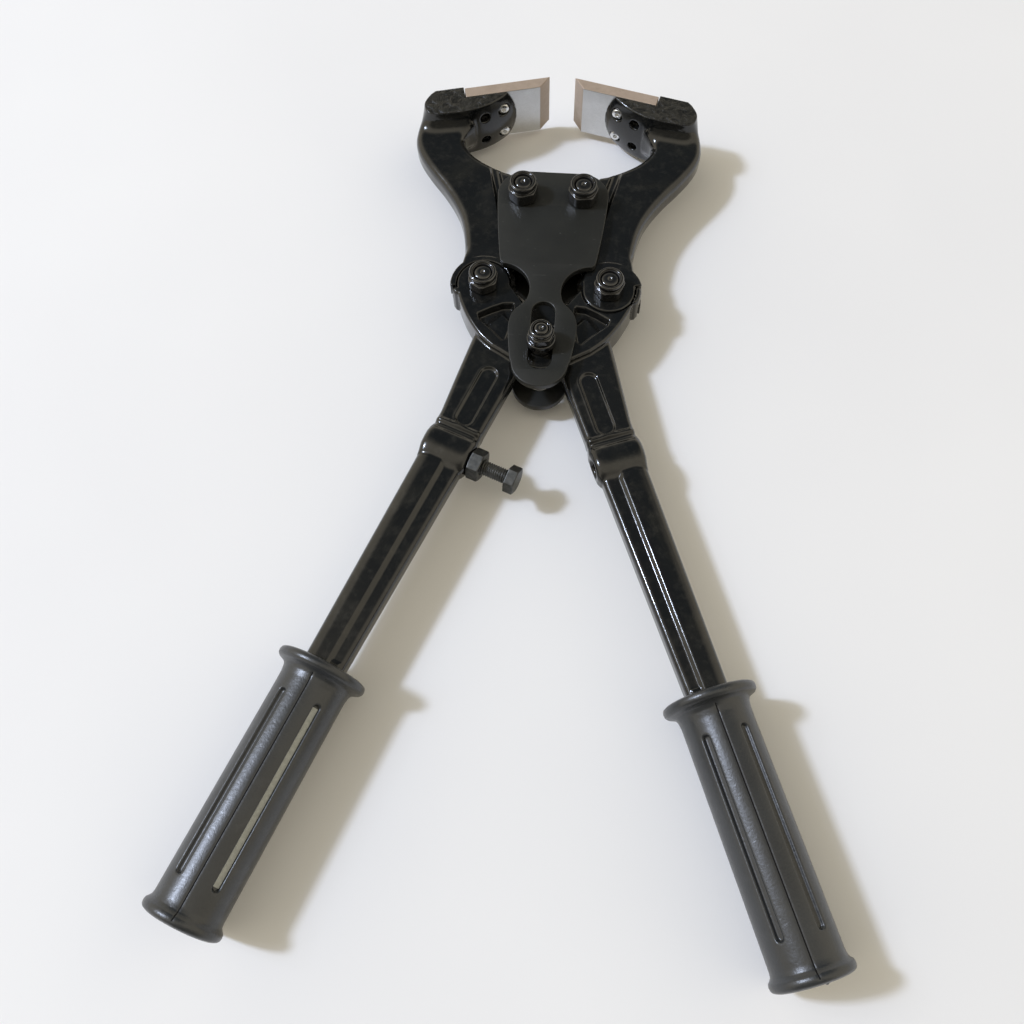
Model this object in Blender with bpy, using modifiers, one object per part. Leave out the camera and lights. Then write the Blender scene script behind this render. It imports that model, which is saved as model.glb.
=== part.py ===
"""Compound-lever end cutter: two forged jaws with replaceable blades, joined by two
link plates and driven by two forged handles whose common pivot slides in a slot.

Metres, +Z up.  The origin is a point on the rear link plate's outer face, on the centre
line of the tool; +Y runs towards the blades, +X to the right and +Z to the front.
Sizes are in millimetres and shapes are drawn from the handles' common pivot at the
middle plane of the tool; ORIGIN places that pivot.  The jaw and the handle on the left
are the same forgings as on the right, turned half a turn about the centre line, so both
are drawn as on the right.  "Over" and "under" are the +Z and -Z sides as drawn.
"""

import math

import bmesh
import bpy
from mathutils import Matrix, Vector

MM = 0.001

# ---------------------------------------------------------------- driving dimensions
JAW_PIVOT = Vector((17.0, 97.0, 0.0)) * MM        # jaw to link plates
LINK_PIVOT = Vector((34.5, 38.8, 0.0)) * MM       # jaw to handle
CENTRE_PIVOT = Vector((0.0, 0.0, 0.0))            # handle to handle, in the slot
JAW_CENTRE, LINK_CENTRE = (tuple((pivot / MM)[:2]) for pivot in (JAW_PIVOT, LINK_PIVOT))

FORGING_HALF = 9.0        # half thickness of the forgings between the plates
PLATE_THICKNESS = 4.0
GAP = 0.3                 # between neighbouring pieces
LAP = GAP / 2             # from the middle plane to a half-lap's face
PLATE_IN = FORGING_HALF + GAP
PLATE_OUT = PLATE_IN + PLATE_THICKNESS
ORIGIN = Vector((0.0, -75.0, PLATE_OUT)) * MM     # of the centre pivot

EYE_RADIUS = 14.4         # half-lap eye at a link pivot
SEAT_RADIUS = 15.1        # seat round the other forging's eye

PIVOT_HOLE_RADIUS = 5.35
CENTRE_HOLE_RADIUS = 4.3
LARGE_HEX, SMALL_HEX = 16.0, 13.0                 # across flats

OVERSHOOT = 2.0           # of a cutter past the face it opens
CLEAR_OF_HANDLE = 12.0    # a level outside the handles' faces
THROUGH = 30.0            # half length of a cutter that passes right through

ROUND = 24                # segments round a bolt or a bore

# finish: base colour, roughness, metallic
FINISHES = {
    "forging": ((0.020, 0.020, 0.019), 0.28, 0.35),
    "plate": ((0.045, 0.046, 0.042), 0.52, 0.55),
    "oxide": ((0.018, 0.018, 0.020), 0.30, 0.85),
    "steel": ((0.62, 0.61, 0.58), 0.26, 1.0),
    "screw": ((0.45, 0.45, 0.44), 0.30, 1.0),
    "stop": ((0.16, 0.16, 0.15), 0.42, 0.9),
    "rubber": ((0.035, 0.037, 0.040), 0.60, 0.0),
}

# ---------------------------------------------------------------- scene
for old in list(bpy.data.objects):
    bpy.data.objects.remove(old, do_unlink=True)

scene = bpy.context.scene
PARTS = bpy.data.collections.new("pipe_cutter")
CUTTERS = bpy.data.collections.new("cutters")
scene.collection.children.link(PARTS)
scene.collection.children.link(CUTTERS)
CUTTERS.hide_render = True


def add_material(obj, finish):
    """Give the object a material of its own."""
    colour, roughness, metallic = FINISHES[finish]
    made = bpy.data.materials.new(obj.name + "_finish")
    made.use_nodes = True
    shader = made.node_tree.nodes["Principled BSDF"]
    shader.inputs["Base Color"].default_value = (*colour, 1.0)
    shader.inputs["Roughness"].default_value = roughness
    shader.inputs["Metallic"].default_value = metallic
    made.diffuse_color = (*colour, 1.0)
    obj.data.materials.append(made)


class Frame:
    """A moving body's frame: an empty on the body's joint axis, and the pieces under it.

    Shapes are drawn in the right-hand side's coordinates, in millimetres.  With a
    finish a shape is a piece of the tool; without one it is a helper for booleans.
    """

    def __init__(self, name, pivot, turned=False):
        self.pivot = pivot
        place = pivot.copy()
        self.empty = bpy.data.objects.new(name, None)
        self.empty.empty_display_size = 0.01
        if turned:
            place.x = -place.x
            self.empty.rotation_euler = (0.0, math.pi, 0.0)
        self.empty.location = place + ORIGIN
        PARTS.objects.link(self.empty)

    def adopt(self, obj, finish):
        obj.parent = self.empty
        if finish:
            PARTS.objects.link(obj)
            add_material(obj, finish)
        else:
            CUTTERS.objects.link(obj)
            obj.hide_render = True
            obj.display_type = "WIRE"
        return obj

    def from_bmesh(self, name, bm, finish):
        bmesh.ops.translate(bm, verts=bm.verts, vec=-self.pivot)
        bmesh.ops.recalc_face_normals(bm, faces=bm.faces)
        mesh = bpy.data.meshes.new(name)
        bm.to_mesh(mesh)
        bm.free()
        return self.adopt(bpy.data.objects.new(name, mesh), finish)

    def prism(self, name, outline, low, high, finish=None, holes=()):
        """A flat outline, with any holes, as a filled 2D curve and its thickness."""
        curve = bpy.data.curves.new(name, "CURVE")
        curve.dimensions = "2D"
        curve.fill_mode = "BOTH"
        curve.extrude = (high - low) / 2 * MM
        for loop in (outline, *holes):
            spline = curve.splines.new("POLY")
            spline.points.add(len(loop) - 1)
            spline.use_cyclic_u = True
            for point, (x, y) in zip(spline.points, loop):
                point.co = (x * MM, y * MM, 0.0, 1.0)
        drawn = bpy.data.objects.new(name + "_outline", curve)
        scene.collection.objects.link(drawn)
        bpy.context.view_layer.update()
        graph = bpy.context.evaluated_depsgraph_get()
        mesh = bpy.data.meshes.new_from_object(drawn.evaluated_get(graph))
        bm = bmesh.new()
        bm.from_mesh(mesh)
        bpy.data.objects.remove(drawn)
        bpy.data.curves.remove(curve)
        bpy.data.meshes.remove(mesh)
        # the curve's faces and its sides come unjoined
        bmesh.ops.remove_doubles(bm, verts=bm.verts, dist=0.000005)
        bmesh.ops.translate(bm, verts=bm.verts, vec=(0, 0, (high + low) / 2 * MM))
        return self.from_bmesh(name, bm, finish)

    def over_and_under(self, name, outline, near, far, suffixes=("over", "under")):
        """Two helpers from one outline, at the same distances over and under."""
        return (self.prism(f"{name}_{suffixes[0]}", outline, near, far),
                self.prism(f"{name}_{suffixes[1]}", outline, -far, -near))

    def drum(self, name, radius, low, high, centre=(0.0, 0.0), sides=ROUND,
             axis=None, phase=0.0, finish=None, top=None):
        """A cylinder, or a cone with another top radius, along Z or a given matrix."""
        bm = bmesh.new()
        bmesh.ops.create_cone(
            bm, cap_ends=True, segments=sides, radius1=radius * MM,
            radius2=(radius if top is None else top) * MM, depth=(high - low) * MM,
        )
        bmesh.ops.rotate(bm, verts=bm.verts, matrix=Matrix.Rotation(phase, 3, "Z"))
        bmesh.ops.translate(bm, verts=bm.verts, vec=(0, 0, (high + low) / 2 * MM))
        if axis is None:
            bmesh.ops.translate(bm, verts=bm.verts,
                                vec=(centre[0] * MM, centre[1] * MM, 0))
        else:
            bmesh.ops.transform(bm, verts=bm.verts, matrix=axis)
        return self.from_bmesh(name, bm, finish)

    def hexagon(self, name, across, low, high, **placing):
        return self.drum(name, across / math.sqrt(3), low, high, sides=6, **placing)


def combine(obj, others, operation):
    for other in others:
        step = obj.modifiers.new(operation.lower() + "_" + other.name, "BOOLEAN")
        step.operation = operation
        step.solver = "EXACT"
        step.object = other


def cut(obj, *others):
    combine(obj, others, "DIFFERENCE")


def join(obj, *others):
    combine(obj, others, "UNION")


# ---------------------------------------------------------------- outline helpers
def arc(centre, radius, start, end, steps):
    angles = [math.radians(start + (end - start) * i / steps) for i in range(steps + 1)]
    return [(centre[0] + radius * math.cos(angle), centre[1] + radius * math.sin(angle))
            for angle in angles]


def smooth(points, steps=2):
    """An open Catmull-Rom curve through the points."""
    padded = [points[0], *points, points[-1]]
    out = []
    for a, b, c, d in zip(padded, padded[1:], padded[2:], padded[3:]):
        for i in range(steps):
            t = i / steps
            out.append(tuple(
                0.5 * (2 * b[k] + (c[k] - a[k]) * t
                       + (2 * a[k] - 5 * b[k] + 4 * c[k] - d[k]) * t * t
                       + (3 * b[k] - a[k] - 3 * c[k] + d[k]) * t ** 3)
                for k in (0, 1)))
    out.append(points[-1])
    return out


def mirrored(half):
    """A closed outline from its right half, from the top of the axis to its foot."""
    return half + [(-x, y) for x, y in reversed(half) if x > 0.001]


def pointing(place, direction, level=0.0):
    """The matrix of an axis whose Z runs from a place along a direction in the XY plane."""
    turn = Vector((direction.x, direction.y, 0)).to_track_quat("Z", "Y")
    return Matrix.Translation(Vector((*place, level)) * MM) @ turn.to_matrix().to_4x4()


# ---------------------------------------------------------------- bolts and nuts
TIP_LENGTH = 1.6          # of a shank's tapered tip
TIP_SHOWING = 1.0         # of it, past the plain shank
TAPER = 0.9               # loss of radius at a shank's tip and a collar's end
COLLAR_SUNK = 1.5         # depth of a nut's collar inside its hexagon

PIVOT_BOLT = {"radius": 5.0, "across": LARGE_HEX, "head": 6.4}
CENTRE_BOLT = {"radius": 4.0, "across": SMALL_HEX, "head": 5.3}
JAW_NUT = {"bore": PIVOT_HOLE_RADIUS, "across": LARGE_HEX, "body": 8.0,
           "collar": 4.0, "collar_radius": 7.4}
LINK_NUT = {"bore": PIVOT_HOLE_RADIUS, "across": LARGE_HEX, "body": 7.0,
            "collar": 3.4, "collar_radius": 7.2}
CENTRE_NUT = {"bore": CENTRE_HOLE_RADIUS, "across": SMALL_HEX, "body": 5.2,
              "collar": 2.8, "collar_radius": 6.0}


def bolt(frame, name, centre, low, high, radius, across, head):
    """Hex head below the low level, plain shank up to the high one."""
    made = frame.hexagon(name, across, low - head, low, centre=centre, finish="oxide")
    join(made,
         frame.drum(name + "_shank", radius, low - head / 2, high - TIP_SHOWING, centre),
         frame.drum(name + "_tip", radius, high - TIP_LENGTH, high, centre,
                    top=radius - TAPER))


def nut(frame, name, centre, low, phase, bore, across, body, collar, collar_radius):
    """Hex body with the round collar that holds its locking ring."""
    end = low + body + collar
    made = frame.hexagon(name, across, low, low + body, centre=centre, phase=phase,
                         finish="oxide")
    join(made, frame.drum(name + "_collar", collar_radius, low + body - COLLAR_SUNK, end,
                          centre, top=collar_radius - TAPER))
    cut(made, frame.drum(name + "_bore", bore, low - OVERSHOOT, end + OVERSHOOT, centre))


# ---------------------------------------------------------------- link plates
SLOT_RADIUS = 6.35
SLOT_FROM, SLOT_TO = -10.0, 19.4  # centres of the slot's round ends, along Y
JAW_BOLT_REACH = 12.6             # past the front plate's gap

# (x, y) of the right half, from the blade end to the handle end
PLATE_HALF = (
    [(0.0, 114.6), (8.0, 114.6)]
    + arc((15.3, 98.4), 16.2, 90, 2, 8)
    + smooth([(31.0, 90.0), (29.6, 76.0), (27.6, 60.0), (26.2, 51.6)])
    + arc((25.2, 33.2), 16.6, 92, 206, 9)
    + smooth([(12.6, 23.4), (17.0, 17.6), (18.4, 9.0), (17.3, -2.0), (16.0, -10.5)])
    + arc((0.0, -11.6), 15.1, -5, -90, 7)
)
SLOT = (arc((0, SLOT_TO), SLOT_RADIUS, 0, 180, 10)
        + arc((0, SLOT_FROM), SLOT_RADIUS, 180, 360, 10))


def link_plates():
    frame = Frame("plates_frame", CENTRE_PIVOT)
    holes = [SLOT] + [arc((side * JAW_CENTRE[0], JAW_CENTRE[1]), PIVOT_HOLE_RADIUS, 0, 342, 19)
                      for side in (1, -1)]
    for name, low, high in (("front_link_plate", PLATE_IN, PLATE_OUT),
                            ("rear_link_plate", -PLATE_OUT, -PLATE_IN)):
        frame.prism(name, mirrored(PLATE_HALF), low, high, "plate", holes)

    seat = PLATE_OUT + GAP
    for side, sign, phase in (("left", -1, 0.35), ("right", 1, 0.15)):
        centre = (sign * JAW_CENTRE[0], JAW_CENTRE[1])
        bolt(frame, side + "_jaw_bolt", centre, -seat, seat + JAW_BOLT_REACH, **PIVOT_BOLT)
        nut(frame, side + "_jaw_nut", centre, seat, phase, **JAW_NUT)


# ---------------------------------------------------------------- centre pivot
BUSH_RADIUS = 6.0
BUSH_LIP = 1.6            # of the lip past the bush, in radius
BUSH_SIDES = 28
BUSH_TO = PLATE_OUT + 1.0
FRONT_LIP_TO, REAR_LIP_TO = PLATE_OUT + 5.0, PLATE_OUT + 2.0


def slot_bush(frame, name, ends, lip_ends):
    bush = frame.drum(name, BUSH_RADIUS, *ends, sides=BUSH_SIDES, finish="oxide")
    for face in bush.data.polygons:
        face.use_smooth = True
    join(bush, frame.drum(name + "_lip", BUSH_RADIUS + BUSH_LIP, *lip_ends, sides=BUSH_SIDES))
    cut(bush, frame.drum(name + "_bore", CENTRE_HOLE_RADIUS, -THROUGH, THROUGH))


def centre_pivot():
    frame = Frame("centre_pivot_frame", CENTRE_PIVOT)
    bolt(frame, "centre_bolt", (0, 0), -REAR_LIP_TO - GAP, PLATE_OUT + 14.0, **CENTRE_BOLT)
    slot_bush(frame, "front_slot_bush", (PLATE_IN, BUSH_TO), (PLATE_OUT + GAP, FRONT_LIP_TO))
    slot_bush(frame, "rear_slot_bush", (-BUSH_TO, -PLATE_IN), (-REAR_LIP_TO, -PLATE_OUT - GAP))
    nut(frame, "centre_nut", (0, 0), FRONT_LIP_TO + GAP, 0.2, **CENTRE_NUT)


# ---------------------------------------------------------------- jaws
RIM_RADIUS = 18.4         # outside of the jaw's rim round its seat, and of its cheek
RIM_FROM, RIM_TO = -14.0, 162.0   # polar angles of the rim, degrees
CHEEK_FROM = 13.5         # where the cheek on the other half of the jaw begins
LAP_RADIUS = 30.0         # of the half-lap's cut away from the rim
JAW_EYE_RADIUS = 15.7     # round the jaw pivot
JAW_ARM_HALF = 7.6        # half thickness of a jaw's arm beside its head
CLEAR_OF_ARM = 25.0       # a level outside the jaw's head

# small insets that keep the rim and cheek off faces they would otherwise share
RIM_INSET, FACE_INSET, LAP_INSET = 0.06, 0.04, 0.05

# (x, y) along the jaw's outer side, towards the head
JAW_OUTER = smooth([
    (48.2, 46.0), (47.2, 56.0), (48.0, 68.0), (51.2, 83.0), (56.6, 95.0), (64.4, 107.0),
    (73.0, 118.0), (79.8, 128.0), (83.6, 136.5), (84.6, 144.5), (83.2, 153.0), (79.0, 161.0)])
# back from the head to the jaw pivot's eye
JAW_THROAT = smooth([
    (50.0, 152.4), (54.0, 147.0), (55.4, 141.5), (53.0, 136.0),
    (48.0, 130.4), (40.0, 125.0), (30.0, 119.9), (22.0, 114.5)])
# from there to the link pivot's eye
JAW_WAIST = smooth([(3.6, 88.5), (9.0, 76.0), (15.0, 61.0), (19.6, 48.0)])
JAW_ARM = (
    [(48.9, 40.0)] + JAW_OUTER + [(70.0, 160.0), (56.0, 158.0)] + JAW_THROAT
    + arc(JAW_CENTRE, JAW_EYE_RADIUS, 92, 208, 12) + JAW_WAIST
    + arc(LINK_CENTRE, EYE_RADIUS, 172, 368, 16)[1:-1]
)
# (x, y) round the part of the arm that lies beyond the plates
BEYOND_PLATES = [(96, 122), (60, 118), (44, 112), (34, 121), (30, 122.5), (24, 130),
                 (20, 190), (100, 190)]

BLADE_TIP = Vector((7.7, 183.6))
BLADE_ANGLE = math.radians(-13.6)
BLADE_ALONG = Vector((math.cos(BLADE_ANGLE), math.sin(BLADE_ANGLE)))
BLADE_DEEP = Vector((BLADE_ALONG.y, -BLADE_ALONG.x))           # towards the throat
BLADE_LENGTH = 51.5
BLADE_THICKNESS = 7.1
BLADE_BEVEL = 6.9
BLADE_HALF = 17.2         # half height of a blade
HEAD_HALF = 17.3          # and of a jaw's head
SEATED = BLADE_THICKNESS + GAP            # depth of the blade's seat
NOTCH_END = BLADE_LENGTH + GAP


def on_blade(*points):
    """Places given by their distance along the blade from its tip and their depth."""
    return [tuple(BLADE_TIP + BLADE_ALONG * along + BLADE_DEEP * deep)
            for along, deep in points]


BLADE = on_blade((0, 0), (BLADE_LENGTH, 0), (BLADE_LENGTH, BLADE_THICKNESS),
                 (BLADE_BEVEL, BLADE_THICKNESS))
HEAD = on_blade(
    (24.4, SEATED), (NOTCH_END, SEATED), (NOTCH_END, 0.2), (66.5, 0.3),
    *smooth([(70.2, 1.5), (73.4, 4.4), (75.6, 8.2), (76.2, 12.0), (75.4, 15.6), (72.4, 18.2),
             (66.0, 19.8), (58.5, 20.4), (51.5, 19.8), (43.0, 18.0), (36.0, 15.2),
             (30.5, 12.2)]))
NOTCH = on_blade((-10, -12), (NOTCH_END, -12), (NOTCH_END, SEATED), (-10, SEATED))

# blade screws: places along the blade and in height; ends are depths from its outer face
SCREW_STATIONS = (30.0, 42.0)
SCREW_LEVELS = (8.6, -8.6)
SCREW_HEAD_RADIUS, SCREW_HEAD_ENDS = 3.5, (10.0, 13.0)
SCREW_SHANK_RADIUS, SCREW_SHANK_ENDS = 2.0, (3.0, 11.0)
SCREW_SOCKET_RADIUS, SCREW_SOCKET_ENDS = 1.8, (11.3, 14.0)
SCREW_HOLE_RADIUS = 2.35
SCREW_HOLE_FROM = 2.6             # floor of the blade's blind hole
SCREW_RECESS_RADIUS, SCREW_RECESS_TO = 3.8, 40.0

LINK_BOLT_REACH = 11.4            # past the front face of the forgings' gap


def sector(inner, outer, start, end):
    """Part of a ring, or of a disc, round the link pivot."""
    inside = arc(LINK_CENTRE, inner, end, start, 18) if inner else [LINK_CENTRE]
    return arc(LINK_CENTRE, outer, start, end, 18) + inside


def jaw_forging(frame, side):
    half = FORGING_HALF
    jaw = frame.prism(side + "_jaw", JAW_ARM, -half, half, "forging")
    # the arm is thinner beyond the plates, up to the head
    cut(jaw, *frame.over_and_under(side + "_thin", BEYOND_PLATES, JAW_ARM_HALF, CLEAR_OF_ARM))
    # lower half-lap: seat for the handle's eye, with the rim that half surrounds it
    cut(jaw,
        frame.drum(side + "_jaw_seat", SEAT_RADIUS, -half - OVERSHOOT, LAP, LINK_CENTRE,
                   sides=40),
        frame.prism(side + "_jaw_lap", sector(0.0, LAP_RADIUS, RIM_TO, RIM_FROM + 360),
                    -half - OVERSHOOT, LAP))
    join(jaw,
         frame.prism(side + "_jaw_rim",
                     sector(SEAT_RADIUS + RIM_INSET, RIM_RADIUS, RIM_FROM, RIM_TO),
                     FACE_INSET - half, -LAP - LAP_INSET),
         frame.prism(side + "_jaw_cheek", sector(0.0, RIM_RADIUS, CHEEK_FROM, RIM_TO),
                     LAP + LAP_INSET, half - FACE_INSET),
         frame.prism(side + "_jaw_head", HEAD, -HEAD_HALF, HEAD_HALF))
    cut(jaw,
        frame.prism(side + "_blade_notch", NOTCH, -THROUGH, THROUGH),
        frame.drum(side + "_jaw_bore", PIVOT_HOLE_RADIUS, -THROUGH, THROUGH, JAW_CENTRE),
        frame.drum(side + "_link_bore", PIVOT_HOLE_RADIUS, -THROUGH, THROUGH, LINK_CENTRE))
    return jaw


def blade_screw(frame, name, axis, jaw, blade):
    """A socket-head screw, with its holes in the jaw and in the blade."""
    cut(jaw,
        frame.drum(name + "_clearance", SCREW_HOLE_RADIUS, SEATED - OVERSHOOT, SEATED + 3.5,
                   axis=axis, sides=16),
        frame.drum(name + "_recess", SCREW_RECESS_RADIUS, SCREW_HEAD_ENDS[0] - GAP,
                   SCREW_RECESS_TO, axis=axis, sides=20))
    cut(blade, frame.drum(name + "_thread", SCREW_HOLE_RADIUS, SCREW_HOLE_FROM,
                          BLADE_THICKNESS + 4, axis=axis, sides=16))
    screw = frame.drum(name, SCREW_HEAD_RADIUS, *SCREW_HEAD_ENDS, axis=axis, sides=20,
                       finish="screw")
    join(screw, frame.drum(name + "_shank", SCREW_SHANK_RADIUS, *SCREW_SHANK_ENDS,
                           axis=axis, sides=16))
    cut(screw, frame.drum(name + "_socket", SCREW_SOCKET_RADIUS, *SCREW_SOCKET_ENDS,
                          axis=axis, sides=6))


def jaw_side(side, turned):
    frame = Frame(side + "_jaw_frame", JAW_PIVOT, turned)
    jaw = jaw_forging(frame, side)
    blade = frame.prism(side + "_blade", BLADE, -BLADE_HALF, BLADE_HALF, "steel")
    places = [(along, level) for along in SCREW_STATIONS for level in SCREW_LEVELS]
    for number, (along, level) in enumerate(places, start=1):
        axis = pointing(on_blade((along, 0))[0], BLADE_DEEP, level)
        blade_screw(frame, f"{side}_blade_screw_{number}", axis, jaw, blade)
    return frame


def link_fasteners(frame):
    """The right link bolt and its nut, which stay with the jaw."""
    bolt(frame, "right_link_bolt", LINK_CENTRE, -PLATE_IN, PLATE_IN + LINK_BOLT_REACH,
         **PIVOT_BOLT)
    nut(frame, "right_link_nut", LINK_CENTRE, PLATE_IN, 0.12, **LINK_NUT)


def flipped_link_fasteners(frame):
    """The left ones.  All nuts are on the front of the tool, so in the turned frame
    these are drawn upside down."""
    name = "left_link_bolt"
    radius = PIVOT_BOLT["radius"]
    end = -PLATE_IN - LINK_BOLT_REACH
    made = frame.hexagon(name, LARGE_HEX, PLATE_IN, PLATE_IN + PIVOT_BOLT["head"],
                         centre=LINK_CENTRE, finish="oxide")
    join(made,
         frame.drum(name + "_shank", radius, end + TIP_SHOWING, PLATE_IN + 3, LINK_CENTRE),
         frame.drum(name + "_tip", radius - TAPER, end, end + TIP_LENGTH, LINK_CENTRE,
                    top=radius))

    name = "left_link_nut"
    radius = LINK_NUT["collar_radius"]
    body_end = -PLATE_IN - LINK_NUT["body"]
    made = frame.hexagon(name, LARGE_HEX, body_end, -PLATE_IN, centre=LINK_CENTRE, phase=0.5,
                         finish="oxide")
    join(made, frame.drum(name + "_collar", radius - TAPER, body_end - LINK_NUT["collar"],
                          body_end + COLLAR_SUNK, LINK_CENTRE, top=radius))
    cut(made, frame.drum(name + "_bore", PIVOT_HOLE_RADIUS, -PLATE_IN - 20,
                         -PLATE_IN + OVERSHOOT, LINK_CENTRE))


# ---------------------------------------------------------------- handles
CENTRE_EYE_RADIUS = 13.5
CENTRE_SEAT_RADIUS = 14.2
LINK_HOLE_RADIUS = 5.6
HANDLE_HOLE_RADIUS = 4.35 # for the centre bolt and the stop bolt
POCKET_FLOOR = 5.0        # level of the hub pockets' floors

# (x, y) round the hub between the link pivot and the centre pivot
HUB = (
    [(19.3, 38.8), (16.0, 34.0), (11.8, 28.0), (8.2, 21.0), (5.0, 14.0), (3.2, 7.0),
     (3.2, -7.0), (5.4, -11.2), (10.0, -10.4), (16.5, -7.0)]
    + smooth([(26.7, -1.0), (34.4, 6.4), (41.2, 16.2), (46.4, 26.6), (48.9, 33.9)], 3)
)
# the hub's outer corner, which stands before the end of the jaw's rim
HOOK = [(50.6, 34.6), (51.6, 36.2), (52.2, 38.6), (52.3, 41.2), (50.9, 41.8), (34.5, 40.0)]
# round the roughly triangular pocket in each face of the hub
POCKET = [(17.6, 25.8), (22.5, 25.4), (28.4, 22.8), (35.0, 19.0), (34.0, 15.8), (27.2, 9.6),
          (21.4, 4.0), (19.2, 5.2), (17.6, 12.0), (17.0, 20.0)]
RIM_ROOM = ([(LINK_CENTRE[0] + 1.0, LINK_CENTRE[1] - 0.3)]
            + arc(LINK_CENTRE, 26.0, -20.5, 178, 14))

ARM_ANGLE = math.radians(21.0)    # of a handle's arm from -Y
ARM_DOWN = Vector((math.sin(ARM_ANGLE), -math.cos(ARM_ANGLE)))
ARM_OUT = Vector((math.cos(ARM_ANGLE), math.sin(ARM_ANGLE)))   # outward across it
ARM_OFFSET = 20.5                 # of the arm's centre line from the centre pivot


def on_arm(*points):
    """Places given by their distance down the arm and outward across it."""
    return [tuple(ARM_DOWN * down + ARM_OUT * out) for down, out in points]


# half thicknesses of the arm's sections
FLAT_HALF, BOSS_HALF, FLUTED_HALF, TANG_HALF = 5.8, 8.6, 7.2, 6.0
SHELF_HALF = 5.6                  # and at the shelf along the arm's inner side

BOSS_FROM, BOSS_TO = 63.5, 82.5   # along the arm
STOP_STATION = 73.4
STOP_NUT_FACE = 5.7               # inner face of the boss, across the arm
TANG_FROM, TANG_TO = 190.0, 320.0 # the tang's ends, the far one inside the grip
TANG_IN, TANG_OUT = ARM_OFFSET - 8.0, ARM_OFFSET + 8.0
FLUTED_TO, FLUTED_IN, FLUTED_OUT = 206.0, 10.4, 30.6

FLAT_SECTION = on_arm((-2, 8.0), (18, 5.6), (66, 6.4), (66, 32.2),
                      (54, 32.6), (30, 35.4), (6, 38.0), (-14, 30.0))
BOSS = on_arm((BOSS_FROM, STOP_NUT_FACE + 0.8), (BOSS_FROM + 3, STOP_NUT_FACE),
              (BOSS_TO - 2, STOP_NUT_FACE), (BOSS_TO, STOP_NUT_FACE + 1.2),
              (BOSS_TO, 31.6), (BOSS_TO - 6, 33.0), (BOSS_FROM + 5, 33.4), (BOSS_FROM, 32.4))
FLUTED = on_arm((80, 7.6), (FLUTED_TO, FLUTED_IN), (FLUTED_TO, FLUTED_OUT), (80, 31.4))
TANG = on_arm((TANG_FROM, TANG_IN), (TANG_TO, TANG_IN), (TANG_TO, TANG_OUT),
              (TANG_FROM, TANG_OUT))
SHELF = on_arm((BOSS_TO + 0.4, 2.0), (BOSS_TO + 0.4, 16.0), (193, 18.8), (193, 4.0))

# oval recess in each face of the flat section
OVAL_CENTRES = (26.0, 54.0)       # of its rounded ends, down the arm
OVAL_OFFSET = 18.6
OVAL_END, OVAL_HALF, OVAL_DEPTH = 7.0, 4.6, 0.7
OVAL = on_arm(*[(centre + way * OVAL_END * math.sin(math.radians(angle)),
                 OVAL_OFFSET + way * OVAL_HALF * math.cos(math.radians(angle)))
                for centre, way in zip(OVAL_CENTRES, (-1, 1)) for angle in range(0, 181, 30)])

GRIP_FROM, GRIP_LENGTH = 200.0, 127.5
GRIP_RADIUS, GRIP_FLANGE, GRIP_END_FLANGE = 16.8, 22.6, 19.0
# (radius, distance along the grip)
GRIP_PROFILE = (
    (0.0, 0.0), (20.9, 0.0), (GRIP_FLANGE, 1.4), (GRIP_FLANGE, 3.8), (21.2, 5.4),
    (18.4, 6.8), (17.2, 9.2), (GRIP_RADIUS, 13.0), (GRIP_RADIUS, GRIP_LENGTH - 10.0),
    (17.4, GRIP_LENGTH - 6.6), (GRIP_END_FLANGE - 0.6, GRIP_LENGTH - 5.2),
    (GRIP_END_FLANGE, GRIP_LENGTH - 3.8), (GRIP_END_FLANGE, GRIP_LENGTH - 2.4),
    (GRIP_END_FLANGE - 1.2, GRIP_LENGTH - 0.9), (12.0, GRIP_LENGTH - 0.2), (0.0, GRIP_LENGTH),
)
GRIP_SOCKET = on_arm((TANG_FROM, TANG_IN - GAP), (TANG_TO + GAP, TANG_IN - GAP),
                     (TANG_TO + GAP, TANG_OUT + GAP), (TANG_FROM, TANG_OUT + GAP))
GRIP_MOUTH = on_arm((TANG_FROM, 10.0 - GAP), (FLUTED_TO + 0.6, FLUTED_IN - GAP),
                    (FLUTED_TO + 0.6, FLUTED_OUT + GAP), (TANG_FROM, 31.0 + GAP))

STOP_AXIS = pointing(ARM_DOWN * STOP_STATION, ARM_OUT)


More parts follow.
